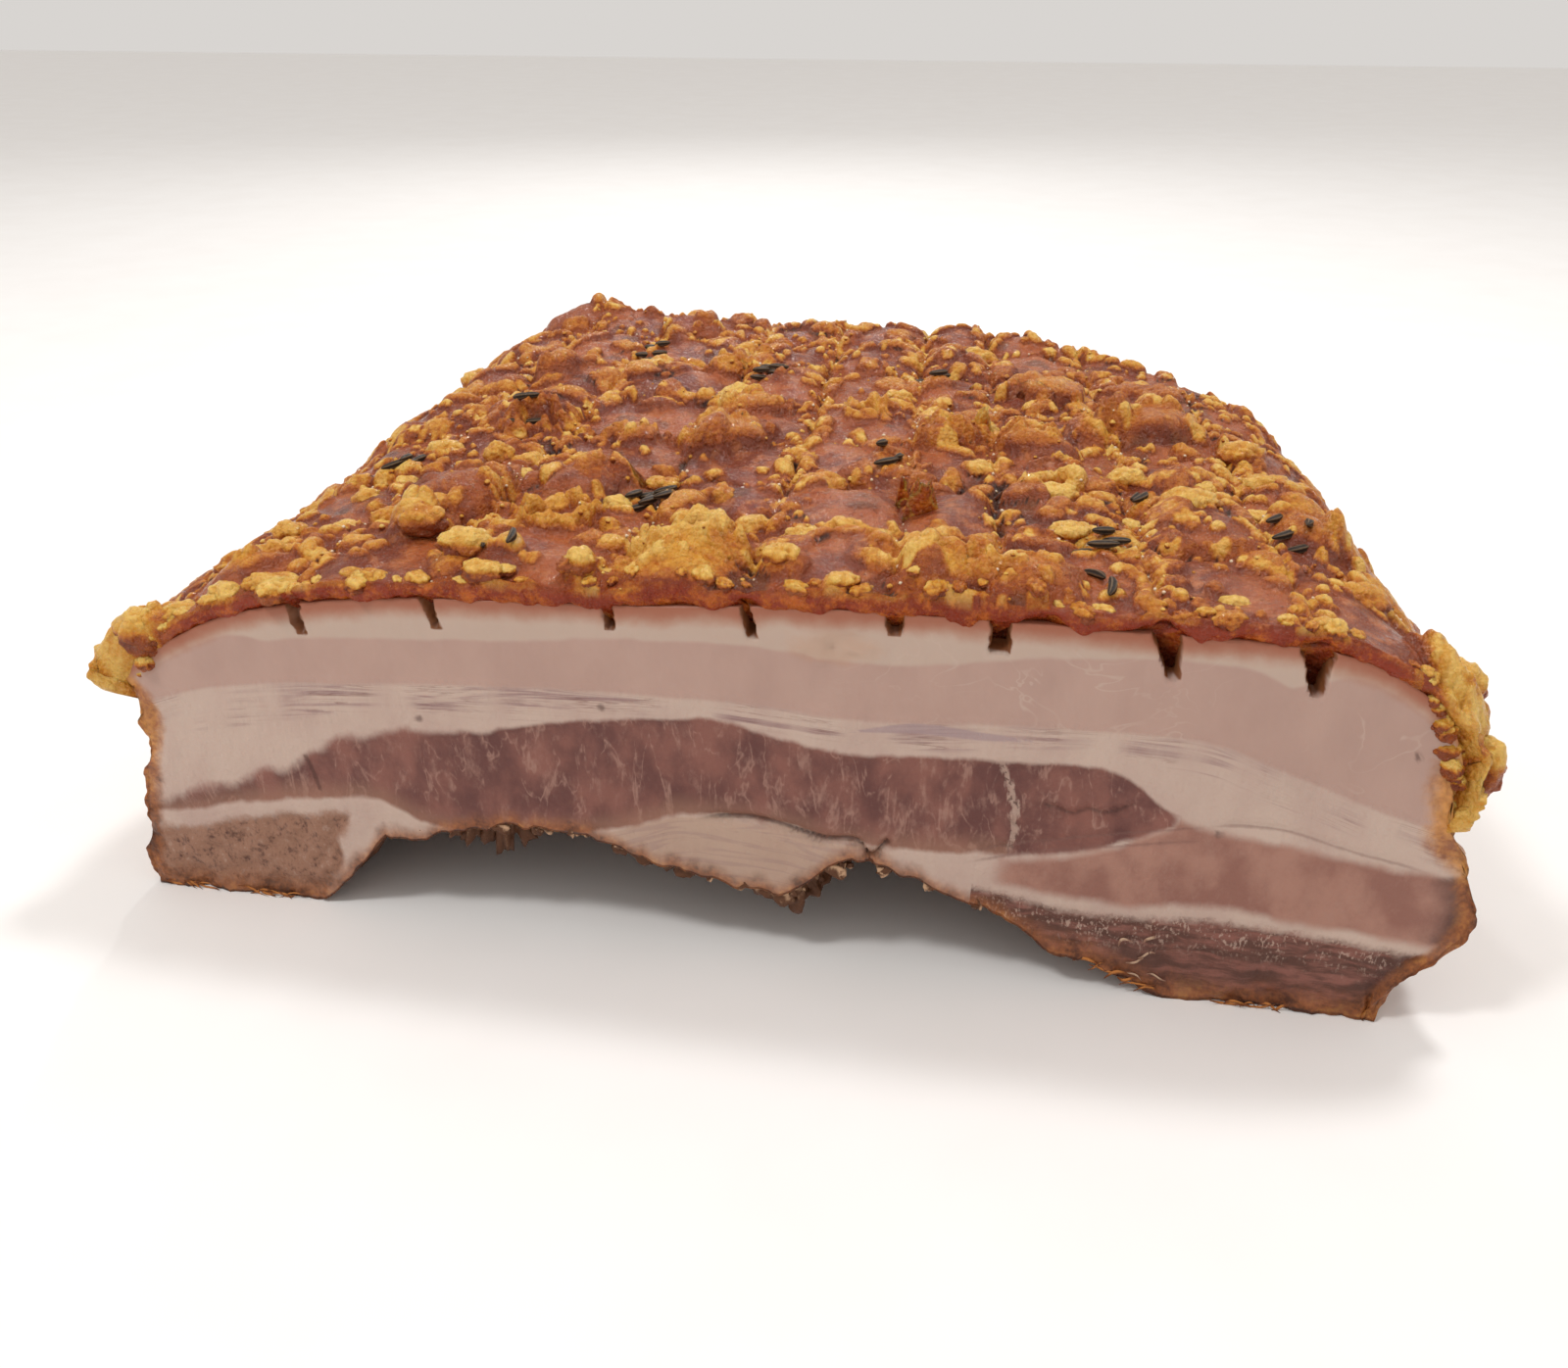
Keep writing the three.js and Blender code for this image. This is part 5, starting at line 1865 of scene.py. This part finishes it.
@dataclass
class Shreds:
    """Torn fibres on the feet and along their lower edges."""

    pale: SpeckFinish = SpeckFinish("pale_shreds", (150, 112, 92), (190, 158, 132), 0.4)
    brown: SpeckFinish = SpeckFinish("brown_shreds", (120, 66, 32), (186, 118, 60), 0.45)
    fibres: int = 6
    fibre_span: tuple[float, float] = (66, 74)
    fibre_length: tuple[float, float] = (2, 4)
    fringe: int = 26
    fringe_left: tuple[float, float] = (-116, -82)
    fringe_right: tuple[float, float] = (60, 106)
    fringe_length: tuple[float, float] = (2.5, 7)
    width: tuple[float, float] = (0.3, 0.7)

    def build(self) -> list[Piece]:
        """The fibres on the right foot, and the fringe along the base, each as one piece."""
        strip = self.strip()
        fibres, fringe = [], []
        for index in range(self.fibres):
            across = lerp(*self.fibre_span, spread(index, SPREAD_X))
            low = JOINT.foot_base_right(np.array([across]))[0]
            high = JOINT.foot_top_right(np.array([across]))[0]
            height = lerp(max(low, 0) + 1, high - 1.5, spread(index, SPREAD_Y))
            turn = lerp(-0.5, 1.2, spread(index, SPREAD_SIZE)) - 0.15
            length = lerp(*self.fibre_length, spread(index, SPREAD_LENGTH))
            fibres.append(self.shred(strip.points, across, height, length, turn, index))
        for index in range(self.fringe):
            share = spread(index, SPREAD_X)
            span = self.fringe_left if share < 0.5 else self.fringe_right
            across = lerp(*span, 2 * share % 1)
            height = max(JOINT.underside(np.array([across]), np.array([JOINT.front]))[0], 0) + 0.7
            turn = lerp(-0.35, 0.35, spread(index, SPREAD_SIZE))
            length = lerp(*self.fringe_length, spread(index, SPREAD_LENGTH))
            fringe.append(self.shred(strip.points, across, height, length, turn, index + 90))
        ridge = 0.5 + 0.5 * np.cos(2.5 * strip.points[:, 0])
        kinds = (("pale_shreds", fibres, self.pale), ("brown_shreds", fringe, self.brown))
        return [
            finish_piece(
                strip.joined(name, copies), finish.build(), Slot.RIB_LEAN, ridge=np.tile(ridge, len(copies)),
            )
            for name, copies, finish in kinds
        ]

    def strip(self) -> Pattern:
        """A thin closed strip from -1 to 1, which lies along the first axis."""
        shape = bmesh.new()
        bmesh.ops.create_grid(shape, x_segments=7, y_segments=1, size=1)
        bmesh.ops.solidify(shape, geom=list(shape.faces), thickness=0.5)
        bmesh.ops.recalc_face_normals(shape, faces=shape.faces)
        shape.verts.index_update()
        return Pattern.of(shape)

    def shred(
        self, unit: Array, across: float, height: float, length: float, turn: float, index: int
    ) -> Array:
        """One shred on the cut face.

        Args:
            unit: Places on the plain strip.
            across: Its place across.
            height: Its height above the base.
            length: Its length.
            turn: Its turn about the depth, in radians.
            index: Number that tells it from the others.

        Returns:
            The places in the CAD frame.
        """
        width = lerp(*self.width, spread(index, SPREAD_Y))
        along = unit[:, 0]
        slim = width * (1 - 0.6 * along**2)
        wave = 0.5 * np.sin(2.2 * along + index)
        lift = 0.9 * along**2 * spread(index, SPREAD_SIZE)
        thin = 0.4 * slim * unit[:, 2] - lift
        local = np.stack((along * length / 2, thin, 0.5 * slim * unit[:, 1] + wave), -1)
        turned = local @ np.array(Matrix.Rotation(-turn, 3, "Y")).T
        placed = turned + np.array((across, JOINT.front + 0.1, height))
        placed[:, 2] = np.maximum(placed[:, 2], 0.1)
        return JOINT.place(placed)


@dataclass
class Studio:
    """Pale floor, soft light and the camera at the photograph's viewing angle."""

    camera_place: tuple[float, float, float] = (46.7, -315.7, 163.7)
    heading: float = 10.66
    pitch: float = 26.3
    lens: float = 33.75
    sensor: float = 36
    floor_size: float = 2.5
    floor_tones: tuple[Colour, Colour] = ((244, 241, 238), (250, 248, 246))
    room_tone: Colour = (250, 246, 242)
    room_strength: float = 0.72
    aim: tuple[float, float, float] = (0, 0, 0.04)
    lamps: tuple[tuple[str, tuple[float, float, float], float, float], ...] = (
        ("key", (-0.4, -0.45, 0.9), 0.16, 3.2),
        ("top", (0.25, 0.25, 1.0), 0.16, 3.6),
        ("back", (-0.25, 0.95, 0.6), 0.05, 1.6),
    )

    def build(self) -> None:
        """Adds the floor, the lights and the camera."""
        self.floor()
        self.lights()
        self.camera()

    def floor(self) -> None:
        """Adds the floor."""
        shape = bmesh.new()
        bmesh.ops.create_grid(shape, x_segments=2, y_segments=2, size=self.floor_size)
        mesh = mesh_from(shape, "floor")
        graph = Graph("floor")
        colour = graph.blend(graph.noise(graph.even(30), detail=2), *self.floor_tones)
        mesh.materials.append(graph.surface(Base_Color=colour, Roughness=0.7))
        floor = bpy.data.objects.new("floor", mesh)
        bpy.context.scene.collection.objects.link(floor)

    def lights(self) -> None:
        """Adds the room's even light and three soft lamps."""
        world = bpy.data.worlds.new("room")
        world.use_nodes = True
        background = world.node_tree.nodes["Background"]
        background.inputs["Color"].default_value = linear(self.room_tone)
        background.inputs["Strength"].default_value = self.room_strength
        bpy.context.scene.world = world
        for name, place, size, power in self.lamps:
            data = bpy.data.lights.new(name, "AREA")
            data.size = size
            data.energy = power
            lamp = bpy.data.objects.new(name, data)
            lamp.location = place
            towards = Vector(self.aim) - Vector(place)
            lamp.rotation_euler = towards.to_track_quat("-Z", "Y").to_euler()
            bpy.context.scene.collection.objects.link(lamp)

    def camera(self) -> None:
        """Adds the camera."""
        data = bpy.data.cameras.new("camera")
        data.lens = self.lens
        data.sensor_width = self.sensor
        data.sensor_fit = "HORIZONTAL"
        camera = bpy.data.objects.new("camera", data)
        place = np.array([self.camera_place])
        shift = JOINT.place(np.array([[0, JOINT.front, 0]]))[0] / MM - np.array((0, JOINT.front, 0))
        camera.location = (place[0] + shift) * MM
        camera.rotation_euler = (math.radians(90 - self.pitch), 0, math.radians(self.heading))
        bpy.context.scene.collection.objects.link(camera)
        bpy.context.scene.camera = camera


def main() -> None:
    """Builds the joint's pieces in order, then its surroundings, and notes the sizes."""
    logging.basicConfig(level=logging.INFO, format="%(name)s %(message)s")
    bpy.context.scene.view_settings.view_transform = "Standard"
    Meat().build()
    crackling = CracklingFinish().build()
    rind = Crackling()
    rind.build(crackling)
    Popcorn(rind).build(crackling)
    Flakes(rind).build(crackling)
    Seeds(rind).build()
    Crumbs(rind).build()
    Rags().build()
    Shreds().build()
    Studio().build()
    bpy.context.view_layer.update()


if __name__ == "__main__":
    main()
